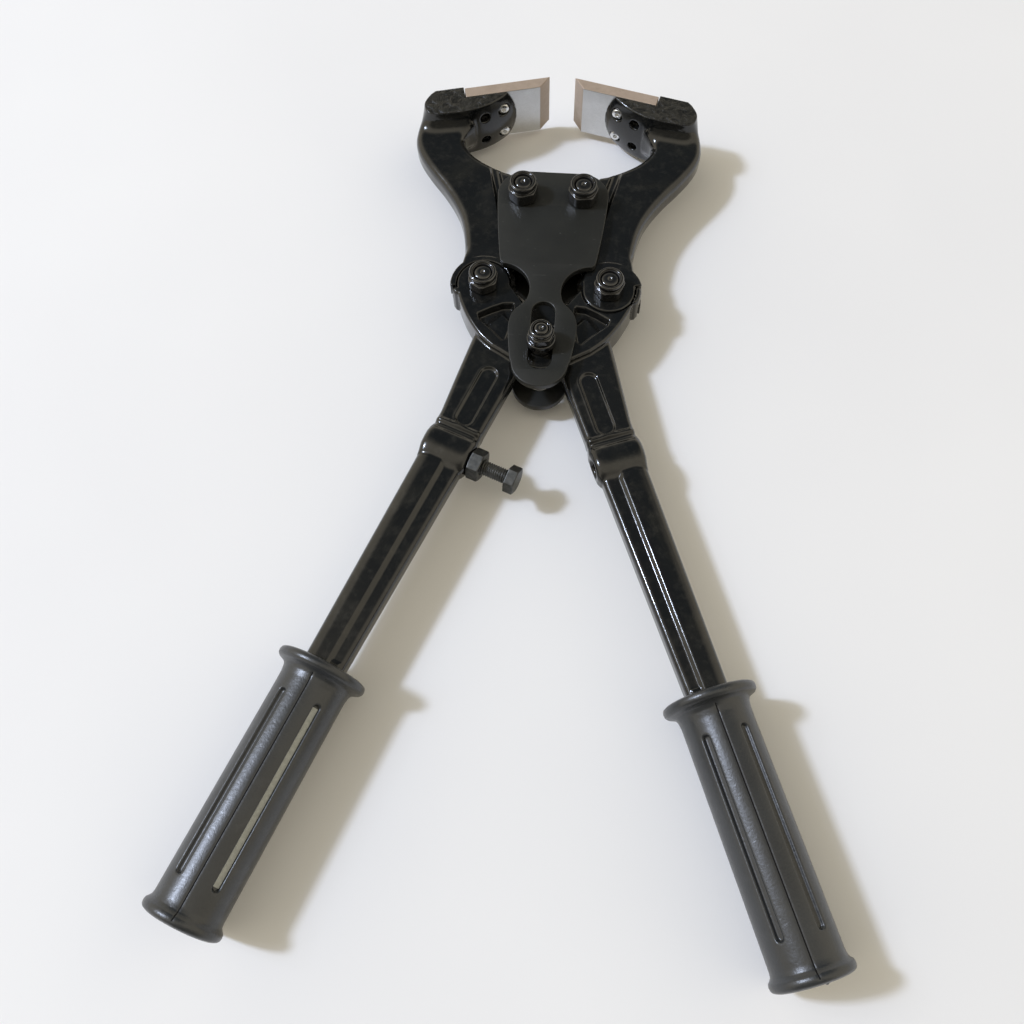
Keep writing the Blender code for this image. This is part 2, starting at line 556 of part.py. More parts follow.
def handle_forging(frame, side):
    half = FORGING_HALF
    handle = frame.prism(side + "_handle", HUB + HOOK, -half, half, "forging")
    # upper half-laps: seats for the jaw's eye and for the other handle's eye
    cut(handle,
        frame.drum(side + "_eye_seat", SEAT_RADIUS, -LAP, half + OVERSHOOT, LINK_CENTRE,
                   sides=40),
        frame.drum(side + "_centre_seat", CENTRE_SEAT_RADIUS, -LAP, half + OVERSHOOT,
                   sides=36))
    # room below for the jaw's rim
    cut(handle, frame.prism(side + "_rim_room", RIM_ROOM, -half - OVERSHOOT, LAP))
    # lower half-laps: the handle's own eyes
    join(handle,
         frame.drum(side + "_eye", EYE_RADIUS, -half, -LAP, LINK_CENTRE, sides=36),
         frame.drum(side + "_centre_eye", CENTRE_EYE_RADIUS, -half, -LAP, sides=32))
    cut(handle, *frame.over_and_under(side + "_pocket", POCKET, POCKET_FLOOR, CLEAR_OF_HANDLE))

    flat = frame.prism(side + "_flat_section", FLAT_SECTION, -FLAT_HALF, FLAT_HALF)
    cut(flat, frame.drum(side + "_flat_clear", CENTRE_SEAT_RADIUS, -LAP, CLEAR_OF_HANDLE,
                         sides=36))
    join(handle, flat,
         frame.prism(side + "_boss", BOSS, -BOSS_HALF, BOSS_HALF),
         frame.prism(side + "_fluted", FLUTED, -FLUTED_HALF, FLUTED_HALF),
         frame.prism(side + "_tang", TANG, -TANG_HALF, TANG_HALF))
    # a shelf along the inner side of the arm leaves a raised rib beside it
    cut(handle, *frame.over_and_under(side + "_shelf", SHELF, SHELF_HALF, CLEAR_OF_HANDLE,
                                      suffixes=("2", "0")))
    cut(handle, *frame.over_and_under(side + "_oval", OVAL, FLAT_HALF - OVAL_DEPTH,
                                      CLEAR_OF_HANDLE))
    cut(handle,
        frame.drum(side + "_link_clearance", LINK_HOLE_RADIUS, -THROUGH, THROUGH, LINK_CENTRE),
        frame.drum(side + "_centre_bore", HANDLE_HOLE_RADIUS, -THROUGH, THROUGH),
        frame.drum(side + "_stop_hole", HANDLE_HOLE_RADIUS, -6.0, 46.0, axis=STOP_AXIS,
                   sides=20))


def handle_grip(frame, side):
    """A profile turned about the grip's local Z, hollowed for the end of the arm."""
    mesh = bpy.data.meshes.new(side + "_grip")
    mesh.from_pydata([(radius * MM, 0.0, height * MM) for radius, height in GRIP_PROFILE],
                     [(i, i + 1) for i in range(len(GRIP_PROFILE) - 1)], [])
    grip = bpy.data.objects.new(side + "_grip", mesh)
    # local Z runs down the arm, X outward across it and Y along -Z: a left-handed set
    start = (ARM_DOWN * GRIP_FROM + ARM_OUT * ARM_OFFSET) * MM
    grip.matrix_local = Matrix(((ARM_OUT.x, 0, ARM_DOWN.x, start.x),
                                (ARM_OUT.y, 0, ARM_DOWN.y, start.y),
                                (0, -1, 0, 0),
                                (0, 0, 0, 1)))
    frame.adopt(grip, "rubber")
    step = grip.modifiers.new("turned", "SCREW")
    step.axis = "Z"
    step.steps = step.render_steps = 28
    step.use_merge_vertices = True
    step.merge_threshold = 0.00001
    step.use_normal_calculate = True
    for name, outline, half in (("_grip_socket", GRIP_SOCKET, TANG_HALF + GAP),
                                ("_grip_mouth", GRIP_MOUTH, FLUTED_HALF + GAP)):
        cut(grip, frame.prism(side + name, outline, -half, half))


def handle_side(side, turned):
    frame = Frame(side + "_handle_frame", CENTRE_PIVOT, turned)
    handle_forging(frame, side)
    handle_grip(frame, side)
    return frame


# ---------------------------------------------------------------- stop bolt
STOP_TIP = -21.0          # inner end of the bolt's head, across the arm
STOP_HEAD = 5.5
STOP_SHANK_RADIUS, STOP_SHANK_TO = 4.0, 25.0
LOCK_NUT_HEIGHT = 5.0


def stop_bolt(frame):
    """A bolt across the arm through the boss, its head inward, and its lock nut."""
    outer = STOP_NUT_FACE - GAP
    lock = frame.hexagon("stop_lock_nut", SMALL_HEX, outer - LOCK_NUT_HEIGHT, outer,
                         axis=STOP_AXIS, phase=0.3, finish="stop")
    cut(lock, frame.drum("stop_lock_nut_bore", HANDLE_HOLE_RADIUS, STOP_NUT_FACE - 12,
                         STOP_NUT_FACE + 6, axis=STOP_AXIS, sides=20))
    stop = frame.hexagon("stop_bolt", SMALL_HEX, STOP_TIP, STOP_TIP + STOP_HEAD,
                         axis=STOP_AXIS, phase=0.75, finish="stop")
    join(stop, frame.drum("stop_bolt_shank", STOP_SHANK_RADIUS, STOP_TIP + 2, STOP_SHANK_TO,
                          axis=STOP_AXIS, sides=20))


# ---------------------------------------------------------------- the tool
link_plates()
centre_pivot()
link_fasteners(jaw_side("right", turned=False))
flipped_link_fasteners(jaw_side("left", turned=True))
handle_side("right", turned=False)
stop_bolt(handle_side("left", turned=True))
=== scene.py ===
"""A compound-lever end cutter, lying flat: jaws towards +Y, grips towards -Y, bolts along Z.

Every visible piece is a fine surface that stands for its CAD node.  Forged, turned and
moulded shapes are distance fields (negative inside) meshed on a grid; blades and plates are
outlines with bevelled edges.  Shapes are drawn in millimetres from the handles' common
pivot at the tool's middle plane, for the right-hand (+X) side; the left side's pieces are
the same turned half a turn about Y.
"""

import math

import bmesh
import bpy
import numpy as np
from mathutils import Matrix, Vector

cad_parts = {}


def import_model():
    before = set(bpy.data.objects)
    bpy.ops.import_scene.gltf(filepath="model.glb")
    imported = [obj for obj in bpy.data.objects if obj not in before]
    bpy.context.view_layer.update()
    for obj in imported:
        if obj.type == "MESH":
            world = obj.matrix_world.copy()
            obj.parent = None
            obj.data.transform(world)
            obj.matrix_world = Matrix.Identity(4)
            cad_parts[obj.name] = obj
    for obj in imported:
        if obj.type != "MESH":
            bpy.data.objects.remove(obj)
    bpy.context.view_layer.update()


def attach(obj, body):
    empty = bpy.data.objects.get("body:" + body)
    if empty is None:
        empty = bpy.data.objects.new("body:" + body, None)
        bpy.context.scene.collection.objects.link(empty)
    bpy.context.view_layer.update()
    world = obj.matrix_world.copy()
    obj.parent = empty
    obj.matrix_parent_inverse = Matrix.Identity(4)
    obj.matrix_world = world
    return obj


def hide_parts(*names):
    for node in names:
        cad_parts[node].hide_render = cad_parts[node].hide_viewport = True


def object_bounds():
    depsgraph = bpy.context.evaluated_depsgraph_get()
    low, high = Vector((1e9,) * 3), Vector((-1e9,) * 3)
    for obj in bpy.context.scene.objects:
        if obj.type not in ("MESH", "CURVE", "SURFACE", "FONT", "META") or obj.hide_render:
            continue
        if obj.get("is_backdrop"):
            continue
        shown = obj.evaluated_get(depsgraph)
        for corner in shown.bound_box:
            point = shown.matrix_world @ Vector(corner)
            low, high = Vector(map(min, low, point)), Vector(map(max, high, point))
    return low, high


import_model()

MM = 0.001
COARSE = 1.0       # multiplies every meshing step

# ------------------------------------------------------------------ driving dimensions, mm
JAW_PIVOT = (17.0, 97.0)
LINK_PIVOT = (34.5, 38.8)
PLATE_IN, PLATE_OUT = 9.3, 13.3           # faces of the link plates, from the middle plane
ORIGIN = Vector((0.0, -75.0, PLATE_OUT)) * MM
FLOOR = -22.6                             # the grips' flanges stand on it

FORGING_HALF = 9.0                        # half thickness of the forgings at their joints
LAP_GAP = 0.15                            # half-laps stop this far from the middle plane
LINK_EYE, EYE_ROOM = 14.4, 15.1           # radii of an eye at the link pivot and its clearance
RIM_RADIUS = 18.4                         # outside of the jaw's cheek round the link pivot
M10_HOLE = 5.35
CENTRE_EYE, CENTRE_ROOM = 13.5, 14.2      # the same at the handles' common pivot

# the blade's frame: along its edge from the tip, and deep, away from its back
BLADE_TIP = (7.7, 183.6)
BLADE_ANGLE = math.radians(-13.6)
ALONG = (math.cos(BLADE_ANGLE), math.sin(BLADE_ANGLE))
DEEP = (ALONG[1], -ALONG[0])
BLADE_LENGTH, BLADE_THICKNESS, BLADE_BEVEL = 51.5, 7.1, 6.9
BLADE_HALF, HEAD_HALF = 17.2, 17.3        # half heights along Z
SEAT_DEPTH = BLADE_THICKNESS + 0.3
SEAT_END = BLADE_LENGTH + 0.3

# blade screws: place along the blade, cap radius, cap top, width across the hexagon socket
BLADE_SCREWS = ((30.0, 3.25, 12.9, 2.3), (42.0, 2.65, 12.4, 2.6))
SCREW_LEVELS = (8.6, -8.6)
SCREW_CLEARANCE = 0.25

# the arm's frame: down its length from the common pivot, and outward across it
ARM_ANGLE = math.radians(21.0)
DOWN = (math.sin(ARM_ANGLE), -math.cos(ARM_ANGLE))
OUT = (math.cos(ARM_ANGLE), math.sin(ARM_ANGLE))
ARM_OFFSET = 20.5                         # the grip's axis, outward
STOP_STATION = 73.4                       # the stop bolt's axis, down
GRIP_FROM, GRIP_LENGTH = 200.0, 127.5


def on_blade(along, deep):
    return (BLADE_TIP[0] + ALONG[0] * along + DEEP[0] * deep,
            BLADE_TIP[1] + ALONG[1] * along + DEEP[1] * deep)


def on_arm(down, out):
    return (DOWN[0] * down + OUT[0] * out, DOWN[1] * down + OUT[1] * out)


# ------------------------------------------------------------------ outlines
def arc(centre, radius, start, end, steps):
    angles = [math.radians(start + (end - start) * i / steps) for i in range(steps + 1)]
    return [(centre[0] + radius * math.cos(angle), centre[1] + radius * math.sin(angle))
            for angle in angles]


def smooth(points, steps=4):
    """A Catmull-Rom curve through the points."""
    padded = [points[0], *points, points[-1]]
    out = []
    for a, b, c, d in zip(padded, padded[1:], padded[2:], padded[3:]):
        for i in range(steps):
            t = i / steps
            out.append(tuple(0.5 * (2 * b[k] + (c[k] - a[k]) * t
                                    + (2 * a[k] - 5 * b[k] + 4 * c[k] - d[k]) * t * t
                                    + (3 * b[k] - a[k] - 3 * c[k] + d[k]) * t ** 3)
                             for k in (0, 1)))
    out.append(points[-1])
    return out


def sector(inner, outer, start, end):
    """A pie slice, or with an inner radius a ring's part, round the link pivot."""
    inside = arc(LINK_PIVOT, inner, end, start, 40) if inner else [LINK_PIVOT]
    return arc(LINK_PIVOT, outer, start, end, 40) + inside


# Outlines are lists of x, y.  The link plate's right half, from its top down:
PLATE_HALF = (
    [(0.0, 114.6), (8.0, 114.6)]
    + arc((15.3, 98.4), 16.2, 90, 2, 20)
    + smooth([(31.0, 90.0), (29.6, 76.0), (27.6, 60.0), (26.2, 51.6)], 5)
    + arc((25.2, 33.2), 16.6, 92, 206, 28)
    + smooth([(12.6, 23.4), (17.0, 17.6), (18.4, 9.0), (17.3, -2.0), (16.0, -10.5)], 6)
    + arc((0.0, -11.6), 15.1, -5, -90, 20)
)
JAW_OUTER = smooth([
    (48.2, 46.0), (47.2, 56.0), (48.0, 68.0), (51.2, 83.0), (56.6, 95.0), (64.4, 107.0),
    (73.0, 118.0), (79.8, 128.0), (83.6, 136.5), (84.6, 144.5), (83.2, 153.0), (79.0, 161.0)])
JAW_THROAT = smooth([
    (50.0, 152.4), (54.0, 147.0), (55.4, 141.5), (53.0, 136.0),
    (48.0, 130.4), (40.0, 125.0), (30.0, 119.9), (22.0, 114.5)])
JAW_WAIST = smooth([(3.6, 88.5), (9.0, 76.0), (15.0, 61.0), (19.6, 48.0)])
JAW_ARM = ([(48.9, 40.0)] + JAW_OUTER + [(70.0, 160.0), (56.0, 158.0)] + JAW_THROAT
           + arc(JAW_PIVOT, 15.7, 92, 208, 14) + JAW_WAIST
           + arc(LINK_PIVOT, LINK_EYE, 172, 368, 24)[1:-1])
# the head's outline: along, deep
HEAD_RIM = [(69.0, -1.2), (71.8, 0.8)] + smooth([
    (74.4, 3.6), (76.2, 6.8), (76.6, 10.0), (76.0, 13.4), (73.8, 15.8), (70.4, 16.9),
    (65.1, 17.4), (56.7, 17.9), (48.1, 17.2), (42.4, 15.7), (36.9, 13.6), (31.8, 10.8),
    (28.4, 8.5), (26.6, 7.0), (24.6, 5.0)])
HEAD = [on_blade(along, deep) for along, deep in
        [(24.6, 3.6), (SEAT_END, 3.6), (SEAT_END, -1.2)] + HEAD_RIM]
NOTCH = [on_blade(-30, -22), on_blade(SEAT_END, -22),
         on_blade(SEAT_END, SEAT_DEPTH), on_blade(-30, SEAT_DEPTH)]
HUB = (
    [(19.3, 38.8), (16.0, 34.0), (11.8, 28.0), (8.2, 21.0), (5.0, 14.0), (3.2, 7.0),
     (3.2, -7.0), (5.4, -11.2), (10.0, -10.4), (16.5, -7.0)]
    + smooth([(26.7, -1.0), (34.4, 6.4), (41.2, 16.2), (45.9, 25.6), (48.0, 31.0)], 5)
    + [(49.8, 31.6), (51.2, 33.4), (52.0, 36.0), (52.4, 38.8), (52.3, 41.2), (50.9, 41.8),
       (34.5, 40.0)]
)
POCKET = [(17.0, 26.4), (22.5, 26.0), (28.6, 23.2), (35.8, 19.0), (34.6, 15.6), (27.2, 9.0),
          (21.4, 3.0), (18.8, 4.6), (17.2, 12.0), (16.4, 20.0)]


def arm_outline(*points):
    """An outline given as down, out."""
    return [on_arm(down, out) for down, out in points]


FLAT_SECTION = arm_outline((-2, 8.0), (18, 5.6), (66, 6.4), (66, 32.2),
                           (54, 32.6), (30, 35.4), (6, 38.0), (-14, 30.0))
ARM_OUTLINE = arm_outline((66, 7.0), (206, 10.4), (206, 30.6), (66, 31.8))
BOSS_OUTLINE = arm_outline((63.5, 6.5), (66.5, 5.75), (80.5, 5.75), (82.5, 6.9),
                           (82.5, 31.6), (76.5, 33.0), (68.5, 33.4), (63.5, 32.4))
TANG = arm_outline((196, 12.5), (320, 12.5), (320, 28.5), (196, 28.5))


# ------------------------------------------------------------------ distance fields
def polygon(x, y, points):
    """Signed distance in the plane to a closed outline."""
    best, inside = None, None
    for (ax, ay), (bx, by) in zip(points, points[1:] + points[:1]):
        ex, ey = bx - ax, by - ay
        size = ex * ex + ey * ey
        if size < 1e-12:
            continue
        wx, wy = x - ax, y - ay
        t = np.clip((wx * ex + wy * ey) / size, 0.0, 1.0)
        square = (wx - ex * t) ** 2 + (wy - ey * t) ** 2
        best = square if best is None else np.minimum(best, square)
        crossing = ((ay <= y) & (by > y)) | ((by <= y) & (ay > y))
        if ey != 0:
            hit = crossing & (x < ax + (y - ay) * ex / ey)
            inside = hit if inside is None else inside ^ hit
    return np.where(inside, -1.0, 1.0) * np.sqrt(best)


def slab(outline, z, low, high, rounding=0.0):
    """A plane field made into a solid from low to high, with its edges rounded."""
    level = np.abs(z - (low + high) / 2) - (high - low) / 2
    outside = np.hypot(np.maximum(outline + rounding, 0), np.maximum(level + rounding, 0))
    return outside + np.minimum(np.maximum(outline, level) + rounding, 0) - rounding


def join(a, b, fillet):
    """Union with a fillet."""
    near = np.maximum(fillet - np.abs(a - b), 0) / fillet
    return np.minimum(a, b) - near * near * fillet * 0.25


def trim(a, b, softness):
    """Intersection with a softened edge."""
    return -join(-a, -b, softness)


def cut(solid, tool, softness):
    """The solid less the tool, with a softened edge."""
    return trim(solid, -tool, softness)


def ramp(value):
    value = np.clip(value, 0.0, 1.0)
    return value * value * (3 - 2 * value)


def bell(value, centre, width):
    return np.exp(-((value - centre) / width) ** 2)


def disc(x, y, centre, radius):
    return np.hypot(x - centre[0], y - centre[1]) - radius


def capsule(x, y, a, b, radius):
    ex, ey = b[0] - a[0], b[1] - a[1]
    t = np.clip(((x - a[0]) * ex + (y - a[1]) * ey) / (ex * ex + ey * ey), 0, 1)
    return np.hypot(x - a[0] - ex * t, y - a[1] - ey * t) - radius


def surface(field, low, high, step, axes=None):
    """Meshes the field's zero surface on a grid (surface nets), then draws every point
    onto it.  axes maps the grid's own first two axes to x, y; z stays."""
    step *= COARSE
    counts = [int(math.ceil((h - l) / step)) + 3 for l, h in zip(low, high)]
    lines = [(l - step + step * np.arange(n)).astype(np.float32) for l, n in zip(low, counts)]

    def world(u, v):
        if axes is None:
            return u, v
        (ax, ay), (bx, by) = axes
        return u * ax + v * bx, u * ay + v * by

    x, y = world(lines[0][:, None, None], lines[1][None, :, None])
    values = np.broadcast_to(field(x, y, lines[2][None, None, :]), counts).astype(np.float32)
    solid = values < 0

    # cells whose corners are partly inside get one point each
    total = np.zeros([n - 1 for n in counts], np.uint8)
    corners = [(i, j, k) for i in (0, 1) for j in (0, 1) for k in (0, 1)]
    for i, j, k in corners:
        total += solid[i:counts[0] - 1 + i, j:counts[1] - 1 + j, k:counts[2] - 1 + k]
    mixed = (total > 0) & (total < 8)
    cells = np.argwhere(mixed)
    index = np.full(mixed.shape, -1, np.int64)
    index[mixed] = np.arange(len(cells))

    # the point is the mean of the crossings on the cell's edges
    ci, cj, ck = cells.T
    offset = np.zeros((len(cells), 3))
    hits = np.zeros(len(cells))
    for start in corners:
        for axis in range(3):
            if start[axis]:
                continue
            end = list(start)
            end[axis] = 1
            at_start = values[ci + start[0], cj + start[1], ck + start[2]]
            at_end = values[ci + end[0], cj + end[1], ck + end[2]]
            crossed = (at_start < 0) != (at_end < 0)
            crossing = np.array(start, float)[None, :].repeat(crossed.sum(), 0)
            crossing[:, axis] += at_start[crossed] / (at_start[crossed] - at_end[crossed])
            offset[crossed] += crossing
            hits[crossed] += 1
    offset = cells + offset / hits[:, None]
    grid = np.stack([lines[axis][0] + step * offset[:, axis] for axis in range(3)], 1)

    # every crossed grid edge joins its four cells with a quad
    quads = []
    for axis in range(3):
        first, second = [slice(None)] * 3, [slice(None)] * 3
        first[axis], second[axis] = slice(0, -1), slice(1, None)
        before, after = solid[tuple(first)], solid[tuple(second)]
        change = np.argwhere(before != after)
        o1, o2 = [other for other in range(3) if other != axis]
        keep = ((change[:, o1] > 0) & (change[:, o2] > 0)
                & (change[:, o1] < counts[o1] - 1) & (change[:, o2] < counts[o2] - 1))
        change = change[keep]
        leaving = before[change[:, 0], change[:, 1], change[:, 2]]
        ring = []
        for d1, d2 in ((-1, -1), (0, -1), (0, 0), (-1, 0)):
            cell = change.copy()
            cell[:, o1] += d1
            cell[:, o2] += d2
            ring.append(index[cell[:, 0], cell[:, 1], cell[:, 2]])
        ring = np.stack(ring, 1)
        backward = leaving if axis == 1 else ~leaving
        ring[backward] = ring[backward][:, ::-1]
        quads.append(ring)
    quads = np.concatenate(quads)
    if axes is not None and axes[0][0] * axes[1][1] < axes[0][1] * axes[1][0]:
        quads = quads[:, ::-1]

    px, py = world(grid[:, 0], grid[:, 1])
    points = np.stack([px, py, grid[:, 2]], 1)
    probe = 0.04
    for _ in range(2):
        x, y, z = points.T
        here = field(x, y, z)
        slope = np.stack([(field(x + probe, y, z) - here) / probe,
                          (field(x, y + probe, z) - here) / probe,
                          (field(x, y, z + probe) - here) / probe], 1)
        move = np.clip(here / np.maximum((slope ** 2).sum(1), 0.3), -0.4 * step, 0.4 * step)
        points = points - slope * move[:, None]
    return points, quads


# ------------------------------------------------------------------ objects
def new_object(name, data):
    obj = bpy.data.objects.new(name, data)
    bpy.context.scene.collection.objects.link(obj)
    return obj


def finish_with(obj, *materials):
    obj.data.materials.clear()
    for each in materials:
        obj.data.materials.append(each)
    return obj


def polygon_vectors(mesh, attribute):
    values = np.empty(len(mesh.polygons) * 3)
    mesh.polygons.foreach_get(attribute, values)
    return values.reshape(-1, 3)


def solid_object(name, field, low, high, step, materials, axes=None, paint=None):
    """A field's surface as an object; paint picks each face's material from the faces'
    middles (mm) and normals."""
    points, faces = surface(field, low, high, step, axes)
    mesh = bpy.data.meshes.new(name)
    mesh.vertices.add(len(points))
    mesh.vertices.foreach_set("co", (points * MM).astype(np.float32).ravel())
    mesh.loops.add(faces.size)
    mesh.loops.foreach_set("vertex_index", faces.astype(np.int32).ravel())
    mesh.polygons.add(len(faces))
    mesh.polygons.foreach_set("loop_start", (np.arange(len(faces)) * 4).astype(np.int32))
    mesh.update(calc_edges=True)
    mesh.validate()
    mesh.shade_smooth()
    obj = finish_with(new_object(name, mesh), *materials)
    if paint is not None:
        chosen = paint(polygon_vectors(mesh, "center") / MM, polygon_vectors(mesh, "normal"))
        mesh.polygons.foreach_set("material_index", chosen.astype(np.int32))
    return obj


def place(obj, body, node, turned=False):
    """Puts a piece drawn in the tool's own millimetres into the row's frame, on its body."""
    way = Matrix.Translation(ORIGIN)
    if turned:
        way = way @ Matrix.Rotation(math.pi, 4, "Y")
    obj.matrix_world = way @ obj.matrix_world
    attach(obj, body)
    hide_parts(node)


def place_pair(right, left_name, body, node):
    """Places the right piece, and its mesh again turned over on the left."""
    left = new_object(left_name, right.data)
    for side, piece in (("right", right), ("left", left)):
        place(piece, f"{side}_{body}", f"{side}_{node}", turned=side == "left")


# ------------------------------------------------------------------ materials
class Nodes:
    """Wires the node tree of a material or world."""

    def __init__(self, owner, coordinates="Object"):
        owner.use_nodes = True
        self.owner = owner
        self.tree = owner.node_tree
        self.coords = self.add("ShaderNodeTexCoord").outputs[coordinates]
        self.normal = None

    def feed(self, socket, value):
        if isinstance(value, bpy.types.NodeSocket):
            self.tree.links.new(value, socket)
        else:
            socket.default_value = value

    def add(self, kind, inputs=None, **settings):
        node = self.tree.nodes.new(kind)
        for key, value in settings.items():
            setattr(node, key, value)
        for key, value in (inputs or {}).items():
            self.feed(node.inputs[key], value)
        return node

    def noise(self, scale, detail=4.0, rough=0.55, stretch=None, distortion=0.0):
        source = self.coords
        if stretch is not None:
            source = self.add("ShaderNodeMapping", {"Vector": source, "Scale": stretch}).outputs[0]
        inputs = {"Vector": source, "Scale": scale, "Detail": detail, "Roughness": rough,
                  "Distortion": distortion}
        return self.add("ShaderNodeTexNoise", inputs).outputs["Fac"]

    def remap(self, value, low, high, to_low=0.0, to_high=1.0, **settings):
        inputs = {"Value": value, "From Min": low, "From Max": high,
                  "To Min": to_low, "To Max": to_high}
        return self.add("ShaderNodeMapRange", inputs, **settings).outputs[0]

    def math(self, operation, a, b):
        return self.add("ShaderNodeMath", {0: a, 1: b}, operation=operation).outputs[0]

    def times(self, value, factor):
        return self.math("MULTIPLY", value, factor)

    def dot(self, a, b):
        node = self.add("ShaderNodeVectorMath", {0: a, 1: b}, operation="DOT_PRODUCT")
        return node.outputs["Value"]

    def mix(self, factor, under, over):
        """Colours are sockets or red, green, blue."""
        under, over = (colour if isinstance(colour, bpy.types.NodeSocket) else (*colour, 1.0)
                       for colour in (under, over))
        return self.add("ShaderNodeMix", {0: factor, 6: under, 7: over},
                        data_type="RGBA").outputs[2]

    def blend(self, value, low, high, under, over):
        """From one colour to the other as the value goes from low to high."""
        return self.mix(self.remap(value, low, high), under, over)

    def tint(self, under, mask, share, over):
        return self.mix(self.times(mask, share), under, over)

    def set(self, name, value):
        self.feed(self.tree.nodes["Principled BSDF"].inputs[name], value)

    def bump(self, height, strength, depth):
        """Adds a bump over those before it; depth is in mm."""
        inputs = {"Height": height, "Strength": strength, "Distance": depth * MM}
        if self.normal is not None:
            inputs["Normal"] = self.normal
        self.normal = self.add("ShaderNodeBump", inputs).outputs[0]
        self.set("Normal", self.normal)


def new_material(name):
    return Nodes(bpy.data.materials.new(name))


def enamel():
    """Gloss black paint over a forging: thick and slightly wavy, with pale dust and browner smears
    that are partly painted reflection and sheen.
    """
    nodes = new_material("black_enamel")
    cloud = nodes.noise(scale=34.0, detail=3.0)
    # dust and smear tints: partly real dust and smears, partly painted reflection and sheen on the
    # paint
    dust_and_sheen = nodes.remap(nodes.noise(scale=210.0, detail=6.0, rough=0.7), low=0.50, high=0.80)
    smear_and_reflection = nodes.remap(nodes.noise(scale=26.0, rough=0.6, distortion=1.4), low=0.52, high=0.74)
    base = nodes.blend(cloud, low=0.35, high=0.75, under=(0.0040, 0.0046, 0.0052),
                       over=(0.0080, 0.0082, 0.0078))
    base = nodes.tint(base, smear_and_reflection, share=0.5, over=(0.020, 0.0185, 0.0135))
    base = nodes.tint(base, dust_and_sheen, share=0.30, over=(0.060, 0.056, 0.046))
    nodes.set("Base Color", base)
    dull = nodes.math("ADD", nodes.times(smear_and_reflection, factor=0.7), nodes.times(dust_and_sheen, factor=0.4))
    nodes.set("Roughness", nodes.remap(dull, low=0.0, high=1.0, to_low=0.13, to_high=0.32))
    nodes.set("Specular IOR Level", 0.48)
    nodes.set("Coat Weight", 0.25)
    nodes.set("Coat Roughness", 0.05)
    nodes.bump(nodes.noise(scale=95.0, detail=2.0), strength=0.35, depth=0.30)
    nodes.bump(nodes.noise(scale=420.0, detail=3.0), strength=0.25, depth=0.06)
    return nodes.owner


def cast_enamel():
    """The same paint over the rough, unfinished ends of a jaw's head."""
    nodes = new_material("rough_cast_enamel")
    lumps = nodes.noise(scale=210.0, rough=0.6, distortion=0.8)
    fine = nodes.noise(scale=800.0, detail=3.0)
    nodes.set("Base Color", nodes.blend(lumps, low=0.4, high=0.7, under=(0.0035, 0.0035, 0.0032),
                                        over=(0.016, 0.015, 0.011)))
    nodes.set("Roughness", nodes.remap(lumps, low=0.35, high=0.65, to_low=0.28, to_high=0.45))
    nodes.set("Coat Weight", 0.1)
    nodes.bump(lumps, strength=1.0, depth=1.3)
    nodes.bump(fine, strength=0.5, depth=0.2)
    return nodes.owner


def plate_finish():
    """Satin black coating on rolled plate: fine grain, a few specks and light scratches."""
    nodes = new_material("satin_plate_coating")
    cloud = nodes.noise(scale=60.0, detail=3.0)
    grain = nodes.noise(scale=1500.0, detail=3.0, rough=0.6)
    speck = nodes.remap(nodes.noise(scale=620.0, detail=2.0), low=0.735, high=0.76)
    scratch = nodes.noise(scale=60.0, detail=2.0, stretch=(1.0, 7.0, 1.0), distortion=1.2)
    scratch = nodes.remap(scratch, low=0.735, high=0.75)
    base = nodes.blend(cloud, low=0.3, high=0.7, under=(0.0120, 0.0127, 0.0118),
                       over=(0.0170, 0.0178, 0.0160))
    marks = nodes.math("MAXIMUM", scratch, speck)
    nodes.set("Base Color", nodes.tint(base, marks, share=0.35, over=(0.16, 0.16, 0.15)))
    nodes.set("Roughness", nodes.remap(grain, low=0.3, high=0.7, to_low=0.34, to_high=0.46))
    nodes.set("Specular IOR Level", 0.5)
    nodes.bump(grain, strength=0.30, depth=0.06)
    nodes.bump(nodes.noise(scale=420.0, detail=2.0), strength=0.15, depth=0.08)
    return nodes.owner


def oxide():
    """Blackened, oiled fasteners: dark and glossy with a fine turned grain."""
    nodes = new_material("black_oxide")
    cloud = nodes.noise(scale=500.0)
    spots = nodes.remap(nodes.noise(scale=1100.0, detail=3.0, rough=0.7), low=0.60, high=0.72)
    base = nodes.blend(cloud, low=0.35, high=0.7, under=(0.0042, 0.0042, 0.0042),
                       over=(0.009984, 0.0096, 0.009216))
    nodes.set("Base Color", nodes.tint(base, spots, share=0.3, over=(0.055, 0.052, 0.048)))
    nodes.set("Metallic", 0.0)
    nodes.set("Specular IOR Level", 0.75)
    nodes.set("Roughness", nodes.remap(cloud, low=0.3, high=0.7, to_low=0.09, to_high=0.204))
    nodes.set("Coat Weight", 0.3)
    nodes.set("Coat Roughness", 0.05)
    nodes.bump(nodes.noise(scale=900.0, detail=3.0), strength=0.18, depth=0.05)
    return nodes.owner


def nylon():
    nodes = new_material("locking_ring_nylon")
    nodes.set("Base Color", nodes.mix(nodes.noise(scale=900.0), under=(0.006, 0.006, 0.007),
                                      over=(0.012, 0.012, 0.013)))
    nodes.set("Roughness", nodes.remap(nodes.noise(scale=700.0), low=0.3, high=0.7,
                                       to_low=0.38, to_high=0.5))
    return nodes.owner


